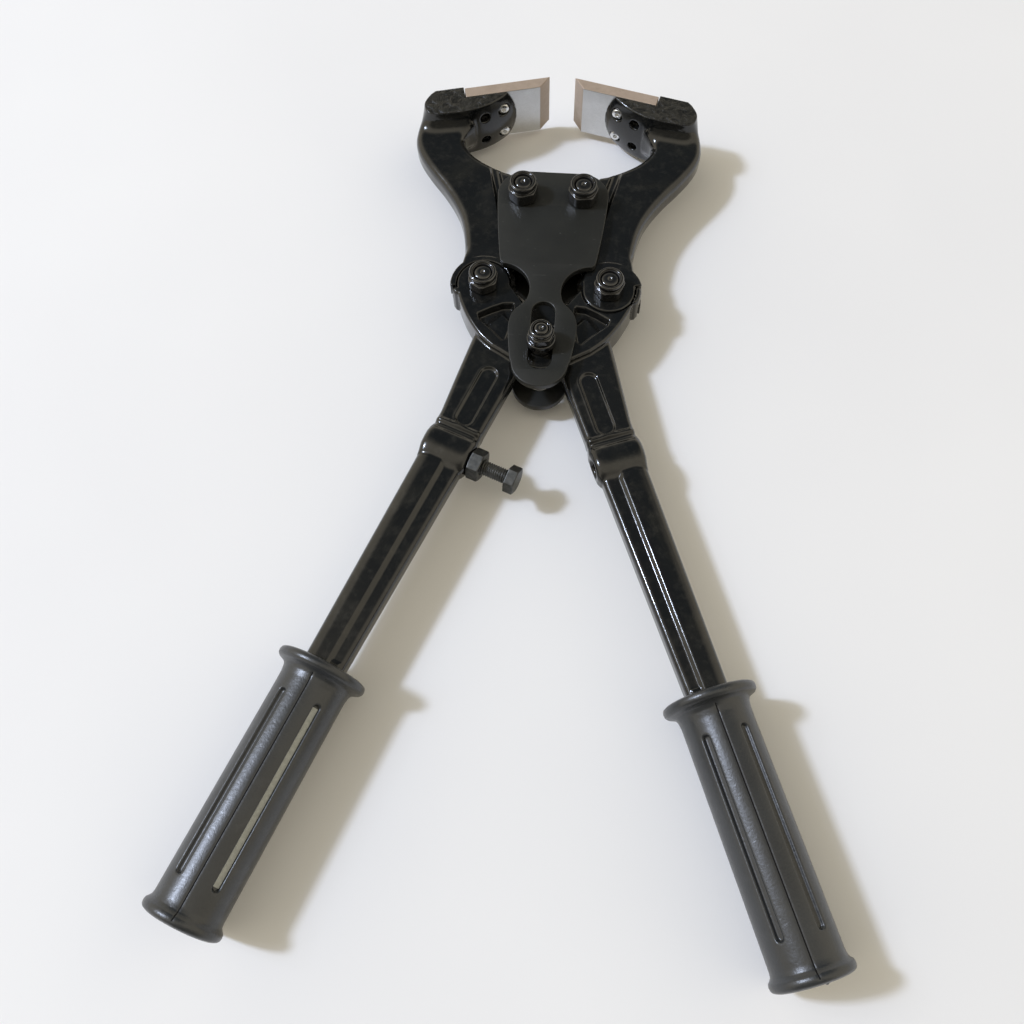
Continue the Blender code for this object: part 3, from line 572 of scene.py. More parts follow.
def ground_steel():
    """Surface-ground tool steel: fine lines along the blade, a little tarnish."""
    nodes = new_material("ground_tool_steel")
    lines = nodes.noise(scale=70.0, rough=0.6, stretch=(1.0, 60.0, 60.0))
    cross = nodes.noise(scale=70.0, rough=0.6, stretch=(60.0, 60.0, 1.5))
    tarnish = nodes.noise(scale=55.0, detail=5.0, rough=0.6)
    base = nodes.blend(tarnish, low=0.35, high=0.75, under=(0.70, 0.70, 0.695),
                       over=(0.57, 0.565, 0.55))
    dark = nodes.remap(lines, low=0.4, high=0.7)
    nodes.set("Base Color", nodes.tint(base, dark, share=0.25, over=(0.36, 0.355, 0.345)))
    nodes.set("Metallic", 1.0)
    nodes.set("Roughness", nodes.remap(lines, low=0.3, high=0.7, to_low=0.30, to_high=0.42))
    nodes.bump(lines, strength=0.10, depth=0.03)
    nodes.bump(cross, strength=0.05, depth=0.02)
    return nodes.owner


def ground_ends():
    """The blade's edges, ends and bevel: coarser grinding, warmer."""
    nodes = new_material("ground_blade_edges")
    lines = nodes.noise(scale=80.0, detail=3.0, rough=0.6, stretch=(2.0, 2.0, 60.0))
    spots = nodes.remap(nodes.noise(scale=420.0, rough=0.65), low=0.60, high=0.75)
    base = nodes.blend(lines, low=0.35, high=0.7, under=(0.42, 0.335, 0.265),
                       over=(0.35, 0.275, 0.215))
    nodes.set("Base Color", nodes.tint(base, spots, share=0.3, over=(0.16, 0.12, 0.09)))
    nodes.set("Metallic", 0.15)
    nodes.set("Roughness", nodes.remap(lines, low=0.3, high=0.7, to_low=0.32, to_high=0.5))
    nodes.bump(lines, strength=0.12, depth=0.03)
    return nodes.owner


def bright_screw():
    nodes = new_material("bright_cap_screw")
    cloud = nodes.noise(scale=900.0, detail=3.0)
    nodes.set("Base Color", nodes.blend(cloud, low=0.35, high=0.7, under=(0.92, 0.92, 0.92),
                                        over=(0.74, 0.74, 0.73)))
    nodes.set("Metallic", 1.0)
    nodes.set("Roughness", nodes.remap(cloud, low=0.3, high=0.7, to_low=0.18, to_high=0.34))
    nodes.bump(cloud, strength=0.25, depth=0.06)
    return nodes.owner


def stop_finish():
    """Dark grey metal, paler where the bevel shader's normal turns at an edge."""
    nodes = new_material("grey_stop_bolt")
    base = nodes.blend(nodes.noise(scale=420.0), low=0.35, high=0.7,
                       under=(0.045, 0.047, 0.046), over=(0.085, 0.086, 0.082))
    rounded = nodes.add("ShaderNodeBevel", {"Radius": 0.4 * MM}, samples=4).outputs[0]
    true = nodes.add("ShaderNodeNewGeometry").outputs["Normal"]
    edges = nodes.remap(nodes.dot(rounded, true), low=0.995, high=0.88)
    nodes.set("Base Color", nodes.tint(base, edges, share=0.35, over=(0.32, 0.31, 0.29)))
    nodes.set("Metallic", 0.85)
    nodes.set("Roughness", nodes.remap(nodes.noise(scale=1100.0, detail=3.0), low=0.3, high=0.7,
                                       to_low=0.34, to_high=0.52))
    nodes.bump(nodes.noise(scale=1500.0, detail=3.0), strength=0.2, depth=0.05)
    return nodes.owner


def rubber():
    """Moulded rubber: matt with a soft sheen, faint flow marks, scuffs that shine."""
    nodes = new_material("moulded_rubber")
    cloud = nodes.noise(scale=45.0)
    mottle = nodes.noise(scale=330.0, detail=5.0, rough=0.65, distortion=0.8)
    scuff = nodes.noise(scale=120.0, detail=5.0, rough=0.7, stretch=(1.0, 1.0, 1.0))
    scuff = nodes.remap(scuff, low=0.55, high=0.75)
    base = nodes.blend(cloud, low=0.35, high=0.7, under=(0.0115, 0.0132, 0.0152),
                       over=(0.0185, 0.0208, 0.0230))
    nodes.set("Base Color", nodes.tint(base, scuff, share=0.30, over=(0.045, 0.048, 0.050)))
    dull = nodes.math("ADD", nodes.times(mottle, factor=0.7), nodes.times(scuff, factor=-0.3))
    nodes.set("Roughness", nodes.remap(dull, low=0.1, high=0.7, to_low=0.27, to_high=0.43))
    nodes.set("Specular IOR Level", 0.70)
    nodes.set("Sheen Weight", 0.04)
    nodes.bump(mottle, strength=0.45, depth=0.20)
    nodes.bump(nodes.noise(scale=900.0, detail=3.0), strength=0.45, depth=0.12)
    return nodes.owner


def plain(name, tone, rough, specular):
    nodes = new_material(name)
    nodes.set("Base Color", nodes.blend(nodes.noise(scale=600.0), low=0.3, high=0.7,
                                        under=[part * 0.75 for part in tone], over=tone))
    nodes.set("Roughness", rough)
    nodes.set("Specular IOR Level", specular)
    return nodes.owner


ENAMEL, CAST = enamel(), cast_enamel()
# painted shade: near-black rubber for the crease of the mould seam
PAINTED_SEAM_SHADE = plain("painted_seam_shade", tone=(0.0030, 0.0032, 0.0035), rough=0.6, specular=0.15)
# painted highlight: pale grey on the floor of one groove of the left grip
PAINTED_GROOVE_HIGHLIGHT = plain("painted_groove_highlight", tone=(0.50, 0.52, 0.50), rough=0.5, specular=0.3)
PLATE, OXIDE, NYLON = plate_finish(), oxide(), nylon()
STEEL, ENDS, SCREW = ground_steel(), ground_ends(), bright_screw()
STOP, RUBBER = stop_finish(), rubber()

# ------------------------------------------------------------------ jaws
ARM_HALF = 7.6                # the jaw arm's half thickness away from its head
HOLLOW = 9.0                  # radius of the hollow where it thickens towards the head
CHEEK_HALF = 8.95
CAP_RECESS_FLOOR = 9.7        # deep
SCREW_HOLE = 2.35


def jaw_arm(x, y, z):
    arm = polygon(x, y, JAW_ARM)
    between_plates = slab(arm, z, -FORGING_HALF, FORGING_HALF, 1.3)
    near = np.clip(HOLLOW - np.maximum(polygon(x, y, HEAD), 0.0), 0.0, HOLLOW)
    half = ARM_HALF + HOLLOW - np.sqrt(HOLLOW ** 2 - near * near)
    outside = trim(arm, np.abs(z) - half, 5.2)
    share = ramp(disc(x, y, JAW_PIVOT, 15.0) / 13.0) * ramp((y - 52.0) / 14.0)
    return between_plates * (1 - share) + outside * share


def jaw_field(x, y, z):
    body = jaw_arm(x, y, z)
    # half-lap at the link pivot: its disc stands proud of the arm, and its rim half
    # surrounds the handle's eye
    cheek = slab(polygon(x, y, sector(0.0, RIM_RADIUS, 13.5, 164.0)), z,
                 -CHEEK_HALF, CHEEK_HALF, 0.6)
    body = np.minimum(body, cheek)
    lap = np.minimum(disc(x, y, LINK_PIVOT, EYE_ROOM),
                     polygon(x, y, sector(0.0, 32.0, 162.0, 346.0)))
    body = cut(body, np.maximum(lap, z - LAP_GAP), 0.5)
    rim = slab(polygon(x, y, sector(15.15, RIM_RADIUS, -8.0, 162.0)), z,
               -CHEEK_HALF, -0.25, 0.6)
    body = np.minimum(body, rim)
    # head, with a fillet to the arm, and the blade's seat; its throat wall is barrelled,
    # most of all towards the blade's tip
    along = (x - BLADE_TIP[0]) * ALONG[0] + (y - BLADE_TIP[1]) * ALONG[1]
    deep = (x - BLADE_TIP[0]) * DEEP[0] + (y - BLADE_TIP[1]) * DEEP[1]
    barrel = ((2.3 * ramp((47.0 - along) / 24.0) + 1.7)
              * (1 - (np.clip(z, -HEAD_HALF, HEAD_HALF) / HEAD_HALF) ** 2)
              * ramp((deep - 4.0) / 3.0))
    head = slab(polygon(x, y, HEAD) - barrel, z, -HEAD_HALF, HEAD_HALF, 0.8)
    body = join(body, head, 2.6)
    body = trim(body, np.abs(z) - HEAD_HALF, 0.5)
    body = cut(body, polygon(x, y, NOTCH), 0.5)
    # pivot holes and the blade screws' recesses
    body = cut(body, disc(x, y, JAW_PIVOT, M10_HOLE), 0.5)
    body = cut(body, disc(x, y, LINK_PIVOT, M10_HOLE), 0.5)
    for station, cap_radius, _, _ in BLADE_SCREWS:
        for level in SCREW_LEVELS:
            radius = np.hypot(along - station, z - level)
            recess = radius - (cap_radius + SCREW_CLEARANCE)
            body = cut(body, np.maximum(recess, CAP_RECESS_FLOOR - deep), 0.5)
            hole = np.maximum(radius - SCREW_HOLE, SEAT_DEPTH - 2 - deep)
            body = np.maximum(body, -hole)
    return body


def cast_ends(middles, normals):
    """1 on the head's end faces."""
    return (np.abs(normals[:, 2]) > 0.8) & (np.abs(middles[:, 2]) > 16.5)


jaw = solid_object("right_jaw_forging", jaw_field, (1.0, 18.5, -17.6), (86.0, 174.5, 17.6), 0.56,
                   [ENAMEL, CAST], paint=cast_ends)
place_pair(jaw, "left_jaw_forging", "jaw", "jaw")


# ------------------------------------------------------------------ blades
def blade_object(name):
    """A straight block with a ground bevel; small chamfers on all edges but the tip's."""
    outline = [on_blade(0, 0), on_blade(BLADE_LENGTH, 0),
               on_blade(BLADE_LENGTH, BLADE_THICKNESS), on_blade(BLADE_BEVEL, BLADE_THICKNESS)]
    bm = bmesh.new()
    low, high = ([bm.verts.new((x * MM, y * MM, z * MM)) for x, y in outline]
                 for z in (-BLADE_HALF, BLADE_HALF))
    bm.faces.new(low)
    bm.faces.new(list(reversed(high)))
    for i in range(4):
        j = (i + 1) % 4
        bm.faces.new((low[i], high[i], high[j], low[j]))
    bmesh.ops.recalc_face_normals(bm, faces=bm.faces)
    chamfered = [edge for edge in bm.edges
                 if any(vert.co.x / MM >= BLADE_TIP[0] + 0.1 for vert in edge.verts)]
    bmesh.ops.bevel(bm, geom=chamfered, offset=0.45 * MM, segments=2, profile=0.5,
                    affect="EDGES", clamp_overlap=True)
    mesh = bpy.data.meshes.new(name)
    bm.to_mesh(mesh)
    bm.free()
    obj = finish_with(new_object(name, mesh), STEEL, ENDS)
    for face in mesh.polygons:
        across = face.normal.x * DEEP[0] + face.normal.y * DEEP[1]
        face.material_index = 0 if abs(across) > 0.9 else 1
    return obj


place_pair(blade_object("right_blade_ground"), "left_blade_ground", "jaw", "blade")

COS_30 = 0.8660254
CHAMFER_SLOPE = 0.866         # the coarser value that chamfers and sockets are cut with


def hexagon(x, y, across, slant=COS_30):
    return np.maximum(np.abs(y), np.maximum(np.abs(slant * x + 0.5 * y),
                                            np.abs(slant * x - 0.5 * y))) - across / 2


def chamfer(r, beyond, radius):
    """A 30 degree cone that has the radius where beyond is 0 and narrows past it."""
    return r * 0.5 + beyond * CHAMFER_SLOPE - radius * 0.5


def screw_field(radius, top, socket):
    """Along Z: a domed cap head with a hexagon socket, on its shank."""

    def field(x, y, z):
        r = np.hypot(x, y)
        head = slab(r - radius, z, 10.0, top, 0.5)
        head = trim(head, np.hypot(r, z - (top - 7.0)) - 7.0, 0.3)
        shank = slab(r - 2.0, z, 3.0, 11.0, 0.4)
        hollow = np.maximum(hexagon(x, y, socket, CHAMFER_SLOPE), top - 1.7 - z)
        return cut(join(head, shank, 0.5), hollow, 0.2)

    return field


def place_blade_screws():
    caps = [solid_object(f"blade_screw_cap_{i}", screw_field(radius, top, socket),
                         (-3.4, -3.4, 2.9), (3.4, 3.4, 13.1), 0.28, [SCREW])
            for i, (_, radius, top, socket) in enumerate(BLADE_SCREWS)]
    seats = [(row[0], level, cap) for row, cap in zip(BLADE_SCREWS, caps)
             for level in SCREW_LEVELS]
    inward = Vector((*DEEP, 0)).to_track_quat("Z", "Y").to_matrix().to_4x4()
    for number, (station, level, cap) in enumerate(seats, 1):
        x, y = on_blade(station, 0)
        way = Matrix.Translation((x * MM, y * MM, level * MM)) @ inward
        for side in ("right", "left"):
            left = side == "left"
            piece = new_object(f"{side}_blade_screw_cap_{number}", cap.data)
            # each socket is turned differently
            piece.matrix_world = way @ Matrix.Rotation(0.4 * number + left, 4, "Z")
            place(piece, side + "_jaw", f"{side}_blade_screw_{number}", turned=left)
    for cap in caps:
        bpy.data.objects.remove(cap)


place_blade_screws()


# ------------------------------------------------------------------ handles
def handle_height(out, down):
    """Half the handle's thickness below its hub: a domed flat, a ridge and a groove before the
    barrel of the boss, then the arm, where a rib stands along the middle of a lower shelf."""
    flat = (5.9 - 0.9 * ((out - 20.0) / 14.0) ** 2 + 1.1 * bell(down, 60.0, 1.5)
            - 0.7 * bell(down, 63.2, 1.1))
    inner = 7.0 + (down - 66.0) * 0.0243
    outer = 31.8 - (down - 66.0) * 0.0086
    across = (out - inner) / (outer - inner)
    rise = np.clip(1.0 - (86.0 - down) / 9.0, 0.0, 1.0)
    rib = ramp((across - 0.31 - 0.16 * (1 - rise) ** 2) / 0.13) * ramp(rise * 1.2)
    arm = 5.5 + 1.75 * rib - 1.5 * ramp((across - 0.70) / 0.30)
    share = ramp((down - 64.0) / 8.0)
    base = flat * (1 - share) + arm * share
    boss = 8.7 - 2.2 * ((down - 72.5) / 8.6) ** 2 - 1.0 * ((out - 19.5) / 13.0) ** 4
    return trim(base, np.maximum(boss, 2.0), 1.1)


def handle_hub(x, y, z):
    """The plate between the pivots, half-lapped at both, with a pocket in each face."""
    hub = slab(polygon(x, y, HUB), z, -FORGING_HALF, FORGING_HALF, 1.8)
    for centre, radius in ((LINK_PIVOT, EYE_ROOM), ((0, 0), CENTRE_ROOM)):
        hub = cut(hub, np.maximum(disc(x, y, centre, radius), -LAP_GAP - z), 0.6)
    room = polygon(x, y, [(LINK_PIVOT[0] + 1.0, LINK_PIVOT[1] - 0.3)]
                   + arc(LINK_PIVOT, 26.0, -15.0, 178, 30))
    hub = cut(hub, np.maximum(room, z - LAP_GAP), 0.5)
    for centre, radius, rounding in ((LINK_PIVOT, LINK_EYE, 0.5), ((0, 0), CENTRE_EYE, 0.7)):
        eye = slab(disc(x, y, centre, radius), z, -FORGING_HALF, -LAP_GAP, rounding)
        hub = join(hub, eye, 0.3)
    pocket = trim(polygon(x, y, POCKET), -1.2, 1.0)
    walls = pocket + (FORGING_HALF - np.abs(z)) * 0.20 - 0.1
    return cut(hub, np.maximum(walls, 4.6 - np.abs(z)), 1.2)


def handle_field(x, y, z):
    out = x * OUT[0] + y * OUT[1]
    down = x * DOWN[0] + y * DOWN[1]
    hub = handle_hub(x, y, z)
    # everything below the hub: one outline, and a thickness that changes over it
    outline = polygon(x, y, FLAT_SECTION)
    outline = join(outline, polygon(x, y, ARM_OUTLINE), 2.0)
    outline = join(outline, polygon(x, y, BOSS_OUTLINE), 2.0)
    height = handle_height(out, down)
    # a sunk pill shape with a raised border
    pill = capsule(x, y, on_arm(26, 18.6), on_arm(54, 18.6), 4.6)
    height = height + 0.25 * (1 - ramp(np.abs(pill - 0.9) / 1.3)) - 0.95 * ramp(0.5 - pill / 1.5)
    lower = trim(outline, (np.abs(z) - height) * 0.9, 3.2)
    lower = cut(lower, np.maximum(disc(x, y, (0, 0), CENTRE_ROOM), -LAP_GAP - z), 0.4)
    body = join(hub, lower, 1.4)
    body = np.minimum(body, slab(polygon(x, y, TANG), z, -6.0, 6.0, 1.0))
    body = cut(body, disc(x, y, LINK_PIVOT, 5.6), 0.5)
    body = cut(body, disc(x, y, (0, 0), 4.35), 0.5)
    # the stop bolt's hole, countersunk at the boss's inner end
    hole = np.hypot(down - STOP_STATION, z) - 4.35
    hole = hole - 0.9 * ramp(1 - np.abs(out - 5.75) / 1.4)
    return cut(body, hole, 0.5)


handle = solid_object("right_handle_forging", handle_field, (-15.0, -40.0, -9.4),
                      (62.5, 210.0, 9.4), 0.56, [ENAMEL], axes=(OUT, DOWN))
place_pair(handle, "left_handle_forging", "handle", "handle")

# ------------------------------------------------------------------ grips
# radius, distance down the grip
GRIP_PROFILE = [
    (-1.0, 0.15), (20.9, 0.15), (22.2, 0.9), (22.6, 2.3), (22.4, 3.8), (21.4, 4.9),
    (19.6, 5.6), (18.1, 6.5), (17.3, 8.2), (16.9, 11.0), (16.8, 16.0), (16.8, 118.0),
    (17.1, 120.1), (18.0, 121.3), (18.8, 122.1), (19.1, 123.5), (18.9, 124.9),
    (18.2, 125.8), (16.5, 126.5), (13.5, 126.8), (-1.0, 127.0)]
GRIP_RADIUS = 16.8
# the groove whose floor carries the painted highlight on the left grip
PAINTED_HIGHLIGHT_GROOVE = 33.0
GROOVES = (-33.0, PAINTED_HIGHLIGHT_GROOVE, 106.5, 180.0, -106.5)     # degrees round the grip
GROOVE_START = 20.4
GROOVE_DEPTH, GROOVE_HALF = 1.9, 2.1
SEAM_HEIGHT, SEAM_WIDTH = 0.30, 0.42


def wrap(angle):
    return (angle + math.pi) % (2 * math.pi) - math.pi


def grip_field(x, y, z, turn):
    """x is out from the grip's axis, y is down the grip; turn (degrees) is about y."""
    r = np.hypot(x, z)
    body = polygon(r, y, GRIP_PROFILE)
    angle = np.arctan2(x, z) - math.radians(turn)
    for groove in GROOVES:
        a = wrap(angle - math.radians(groove))
        # the far side of the grip is pushed out of the groove's reach
        side = np.abs(r * np.sin(a)) + np.where(np.cos(a) < 0, 50.0, 0.0)
        ends = np.maximum(GROOVE_START - y, y - 105.6)
        shape = np.where(ends > 0, np.hypot(side, ends), side) - GROOVE_HALF
        depth = GRIP_RADIUS - r * np.cos(a)
        body = cut(body, np.maximum(shape + depth * 0.45, depth - GROOVE_DEPTH), 0.35)
    a = wrap(angle)
    seam = (SEAM_HEIGHT * bell(r * a, 0, SEAM_WIDTH)
            + SEAM_HEIGHT * bell(r * (np.abs(a) - math.pi), 0, SEAM_WIDTH))
    body = body + seam * ramp((y - 6.0) / 2.0) * ramp((125.0 - y) / 2.0)
    nub = np.hypot(np.hypot(x - 1.2, z - 15.4), np.maximum(y - 126.4, 0)) - 0.8
    return join(body, nub, 0.4)


def grip_object(side, turn):
    def field(x, y, z):
        return grip_field(x, y, z, turn)

    def paint(middles, _):
        """Painted shade along the mould's parting line; a painted highlight on the floor of one
        left groove.
        """
        x, y, z = middles.T
        a = wrap(np.arctan2(x, z) - math.radians(turn))
        r = np.hypot(x, z)
        # faces along the parting line get the painted shade
        seam = (np.abs(r * a) < 0.3) & (y > 7.0) & (y < 124.0) & (r > 16.0)
        # the painted highlight on this groove's floor
        groove = a - math.radians(PAINTED_HIGHLIGHT_GROOVE)
        painted_highlight = ((np.abs(r * np.sin(groove)) < 1.25) & (r * np.cos(groove) < 15.4) & (r > 12.0)
                 & (np.cos(groove) > 0) & (y > GROOVE_START) & (y < 105.8))
        return np.where(painted_highlight & (side == "left"), 2, np.where(seam, 1, 0))

    obj = solid_object(side + "_grip_moulding", field, (-22.7, -0.3, -22.7),
                       (22.7, GRIP_LENGTH, 22.7), 0.58, [RUBBER, PAINTED_SEAM_SHADE, PAINTED_GROOVE_HIGHLIGHT], paint=paint)
    x, y = on_arm(GRIP_FROM, ARM_OFFSET)
    # out, down and up make a left-handed set, so the faces are turned over with it
    obj.data.transform(Matrix(((OUT[0], DOWN[0], 0, x * MM), (OUT[1], DOWN[1], 0, y * MM),
                               (0, 0, 1, 0), (0, 0, 0, 1))))
    obj.data.flip_normals()
    return obj


for side, turn in (("right", -6.0), ("left", 186.0)):
    place(grip_object(side, turn), side + "_handle", side + "_grip",
          turned=side == "left")

# ------------------------------------------------------------------ link plates
PLATE_EDGE = 0.45
SLOT_RADIUS, SLOT_TOP, SLOT_BOTTOM = 6.35, 19.4, -10.0


def plate_object(name, low, high):
    curve = bpy.data.curves.new(name, "CURVE")
    curve.dimensions = "2D"
    curve.fill_mode = "BOTH"
    curve.extrude = ((high - low) / 2 - PLATE_EDGE) * MM
    curve.bevel_depth = PLATE_EDGE * MM
    curve.bevel_resolution = 2
    curve.offset = -PLATE_EDGE * MM
    outline = PLATE_HALF + [(-x, y) for x, y in reversed(PLATE_HALF) if x > 0.001]
    slot = (arc((0, SLOT_TOP), SLOT_RADIUS, 0, 180, 28)
            + arc((0, SLOT_BOTTOM), SLOT_RADIUS, 180, 360, 28))
    holes = [arc((sign * JAW_PIVOT[0], JAW_PIVOT[1]), M10_HOLE, 0, 350, 35)
             for sign in (1, -1)]
    for points in [outline, slot] + holes:
        spline = curve.splines.new("POLY")
        spline.points.add(len(points) - 1)
        spline.use_cyclic_u = True
        for point, (x, y) in zip(spline.points, points):
            point.co = (x * MM, y * MM, 0.0, 1.0)
    drawn = new_object(name + "_outline", curve)
    bpy.context.view_layer.update()
    graph = bpy.context.evaluated_depsgraph_get()
    mesh = bpy.data.meshes.new_from_object(drawn.evaluated_get(graph))
    bpy.data.objects.remove(drawn)
    bm = bmesh.new()
    bm.from_mesh(mesh)
    bmesh.ops.remove_doubles(bm, verts=bm.verts, dist=0.000004)
    bmesh.ops.translate(bm, verts=bm.verts, vec=(0, 0, (high + low) / 2 * MM))
    bmesh.ops.recalc_face_normals(bm, faces=bm.faces)
    bm.to_mesh(mesh)
    bm.free()
    mesh.shade_smooth()
    mesh.set_sharp_from_angle(angle=math.radians(40))
    return finish_with(new_object(name, mesh), PLATE)


for end, low, high in (("front", PLATE_IN, PLATE_OUT), ("rear", -PLATE_OUT, -PLATE_IN)):
    place(plate_object(end + "_link_plate_satin", low, high), "link_plates",
          end + "_link_plate")

# ------------------------------------------------------------------ fasteners
M10_BOLT = dict(radius=5.0, across=16.0, head=6.4, pitch=1.5, reach=9.5, step=0.4)
M8_BOLT = dict(radius=4.0, across=13.0, head=5.3, pitch=1.25, reach=8.0, step=0.34)
M10_NUT = dict(across=15.6, bore=5.15, reach=9.6, step=0.3)
M8_NUT = dict(across=12.8, bore=4.15, reach=8.0, step=0.26)
LOCK_RING = 3.0               # the locking ring's foot, below the nut's top


def thread(x, y, z, radius, pitch, depth):
    """A rod with a screw thread."""
    phase = (z / pitch - np.arctan2(y, x) / (2 * math.pi)) % 1.0
    return (np.hypot(x, y) - radius + depth * (1 - np.abs(2 * phase - 1))) * 0.8


def fastener(name, field, reach, low, high, step, materials, way, turn=0.0, paint=None):
    obj = solid_object(name, field, (-reach, -reach, low), (reach, reach, high), step,
                       materials, paint=paint)
    obj.matrix_world = way @ Matrix.Rotation(turn, 4, "Z")
    return obj


def nut_field(across, bore, height, collar, top):
    """A locking nut from z = 0: hexagon with its corners turned off, a neck, a round collar
    and inside its rolled-over lip the recessed locking ring."""

    def field(x, y, z):
        r = np.hypot(x, y)
        ends = np.maximum(chamfer(r, z - height, across / 2 - 0.1),
                          chamfer(r, -z, across / 2 + 0.1))
        body = trim(slab(hexagon(x, y, across), z, 0.0, height, 0.3), ends, 0.3)
        body = trim(body, r - across / 2 - 0.7, 0.5)
        neck = slab(r - collar + 0.7, z, height - 2.0, top - 1.5, 0.2)
        lip = slab(r - collar, z, height + 0.5, top, 1.15)
        body = join(join(body, neck, 0.5), lip, 0.25)
        mouth = collar - 1.7
        body = cut(body, np.maximum(r - mouth + (top - z) * 0.35, top - 1.5 - z), 0.35)
        ring = slab(np.abs(r - (bore + mouth) / 2) - (mouth - bore) / 2 - 0.1, z,
                    top - LOCK_RING, top - 0.95, 0.35)
        return cut(join(body, ring, 0.2), r - bore, 0.2)

    return field


def bolt_field(radius, across, head, low, high, pitch):
    """A hex bolt: head below low, threaded towards its chamfered, slightly domed end."""

    def field(x, y, z):
        r = np.hypot(x, y)
        body = trim(slab(hexagon(x, y, across), z, low - head, low - 0.2, 0.4),
                    chamfer(r, low - head - z, across / 2 + 0.3), 0.3)
        body = join(body, slab(r - across * 0.47, z, low - 1.2, low, 0.2), 0.2)
        rod = np.where(z < 2.0, r - radius + 0.02, thread(x, y, z, radius, pitch, 0.5))
        rod = np.maximum(rod, z - high)
        rod = trim(rod, (r + z - high - radius + 1.2) * 0.7071, 0.3)
        rod = trim(rod, np.hypot(r, z - (high - radius * 2.6)) - radius * 2.6, 0.4)
        rod = cut(rod, np.hypot(r, z - high - 0.9) - 1.7, 0.3)
        return join(body, np.maximum(rod, low - 2 - z), 0.4)

    return field


def shift(x, y, z=0.0):
    return Matrix.Translation((x * MM, y * MM, z * MM))


def place_bolt(name, body, node, centre, turn, low, high, size):
    """low is under the head, high the bolt's end."""
    shape = {key: size[key] for key in ("radius", "across", "head", "pitch")}
    bolt = fastener(name, bolt_field(low=low, high=high, **shape), size["reach"],
                    low - size["head"] - 0.2, high + 0.2, size["step"], [OXIDE],
                    shift(*centre), turn)
    place(bolt, body, node)


def place_nut(name, body, node, centre, foot, turn, collar, height, top, ring_reach, size):
    """foot is the nut's level; faces within ring_reach of the axis by the ring are nylon."""

    def paint(middles, _):
        x, y, z = middles.T
        return (z > top - LOCK_RING) & (z < top - 0.7) & (np.hypot(x, y) < ring_reach)

    nut = fastener(name, nut_field(size["across"], size["bore"], height, collar, top),
                   size["reach"], -0.1, top + 0.2, size["step"], [OXIDE, NYLON],
                   shift(*centre, foot), turn, paint)
    place(nut, body, node)


# side, sign of x, turns of the jaw nut and the link nut
for side, sign, jaw_turn, link_turn in (("left", -1, 0.35, 0.5), ("right", 1, 0.15, 0.12)):
    centre = (sign * JAW_PIVOT[0], JAW_PIVOT[1])
    place_bolt(side + "_jaw_bolt_m10", "link_plates", side + "_jaw_bolt", centre,
               turn=0.5, low=-13.6, high=25.2, size=M10_BOLT)
    place_nut(side + "_jaw_nut_locking", "link_plates", side + "_jaw_nut", centre, foot=13.6,
              turn=jaw_turn, collar=7.5, height=7.6, top=12.0, ring_reach=5.5, size=M10_NUT)
    centre = (sign * LINK_PIVOT[0], LINK_PIVOT[1])
    place_bolt(side + "_link_bolt_m10", side + "_jaw", side + "_link_bolt", centre,
               turn=0.2, low=-PLATE_IN, high=19.3, size=M10_BOLT)
    place_nut(side + "_link_nut_locking", side + "_jaw", side + "_link_nut", centre,
              foot=PLATE_IN, turn=link_turn, collar=7.6, height=6.2, top=10.4, ring_reach=5.6,
              size=M10_NUT)

place_bolt("centre_bolt_m8", "centre_pivot", "centre_bolt", (0, 0),
           turn=0.3, low=-15.6, high=27.2, size=M8_BOLT)
place_nut("centre_nut_locking", "centre_pivot", "centre_nut", (0, 0), foot=18.6,
          turn=0.2, collar=6.0, height=4.6, top=8.0, ring_reach=4.2, size=M8_NUT)


def bush_field(lip):
    """A flanged sleeve; lip is the flange's outer face."""

    def field(x, y, z):
        r = np.hypot(x, y)
        sleeve = slab(r - 6.0, z, PLATE_IN, 14.3, 0.3)
        flange = slab(r - 7.6, z, 13.6, lip, 0.6)
        return cut(join(sleeve, flange, 0.4), r - 4.3, 0.3)

    return field


for end, lip, way in (("front", 18.3, Matrix.Identity(4)),
                      ("rear", 15.3, Matrix.Rotation(math.pi, 4, "X"))):
    place(fastener(end + "_slot_bush_turned", bush_field(lip), 8.0, 9.1, lip + 0.2, 0.32,
                   [OXIDE], way), "centre_pivot", end + "_slot_bush")

# ------------------------------------------------------------------ stop bolt, in the left boss
# both fields run along Z, outward across the arm
STOP_FOOT = -21.0
LOCK_LOW, LOCK_HIGH = -1.4, 5.4
ACROSS_ARM = (shift(*on_arm(STOP_STATION, 0.0))
              @ Vector((*OUT, 0)).to_track_quat("Z", "Y").to_matrix().to_4x4())


def stop_field(x, y, z):
    """Hex head at the inner end, threaded rod."""
    r = np.hypot(x, y)
    body = trim(slab(hexagon(x, y, 13.0), z, STOP_FOOT, -15.5, 0.35),
                chamfer(r, STOP_FOOT - z, 6.75), 0.3)
    body = join(body, slab(r - 6.1, z, -16.0, -15.2, 0.15), 0.2)
    rod = np.maximum(np.maximum(thread(x, y, z, 4.0, 1.25, 0.62), z - 24.5), -17.0 - z)
    return join(body, rod, 0.3)


def lock_field(x, y, z):
    """A plain hex nut, chamfered at both ends."""
    r = np.hypot(x, y)
    body = slab(hexagon(x, y, 14.8), z, LOCK_LOW, LOCK_HIGH, 0.3)
    body = trim(body, chamfer(r, z - LOCK_HIGH, 7.65), 0.3)
    body = trim(body, chamfer(r, LOCK_LOW - z, 7.65), 0.3)
    return cut(body, r - 4.25, 0.4)


place(fastener("stop_bolt_threaded", stop_field, 8.0, -21.2, 24.8, 0.22, [STOP], ACROSS_ARM, 0.75),
      "stop_bolt", "stop_bolt", turned=True)
place(fastener("stop_lock_nut_hex", lock_field, 8.8, -1.6, 5.6, 0.28, [STOP], ACROSS_ARM, 0.75),
      "left_handle", "stop_lock_nut", turned=True)


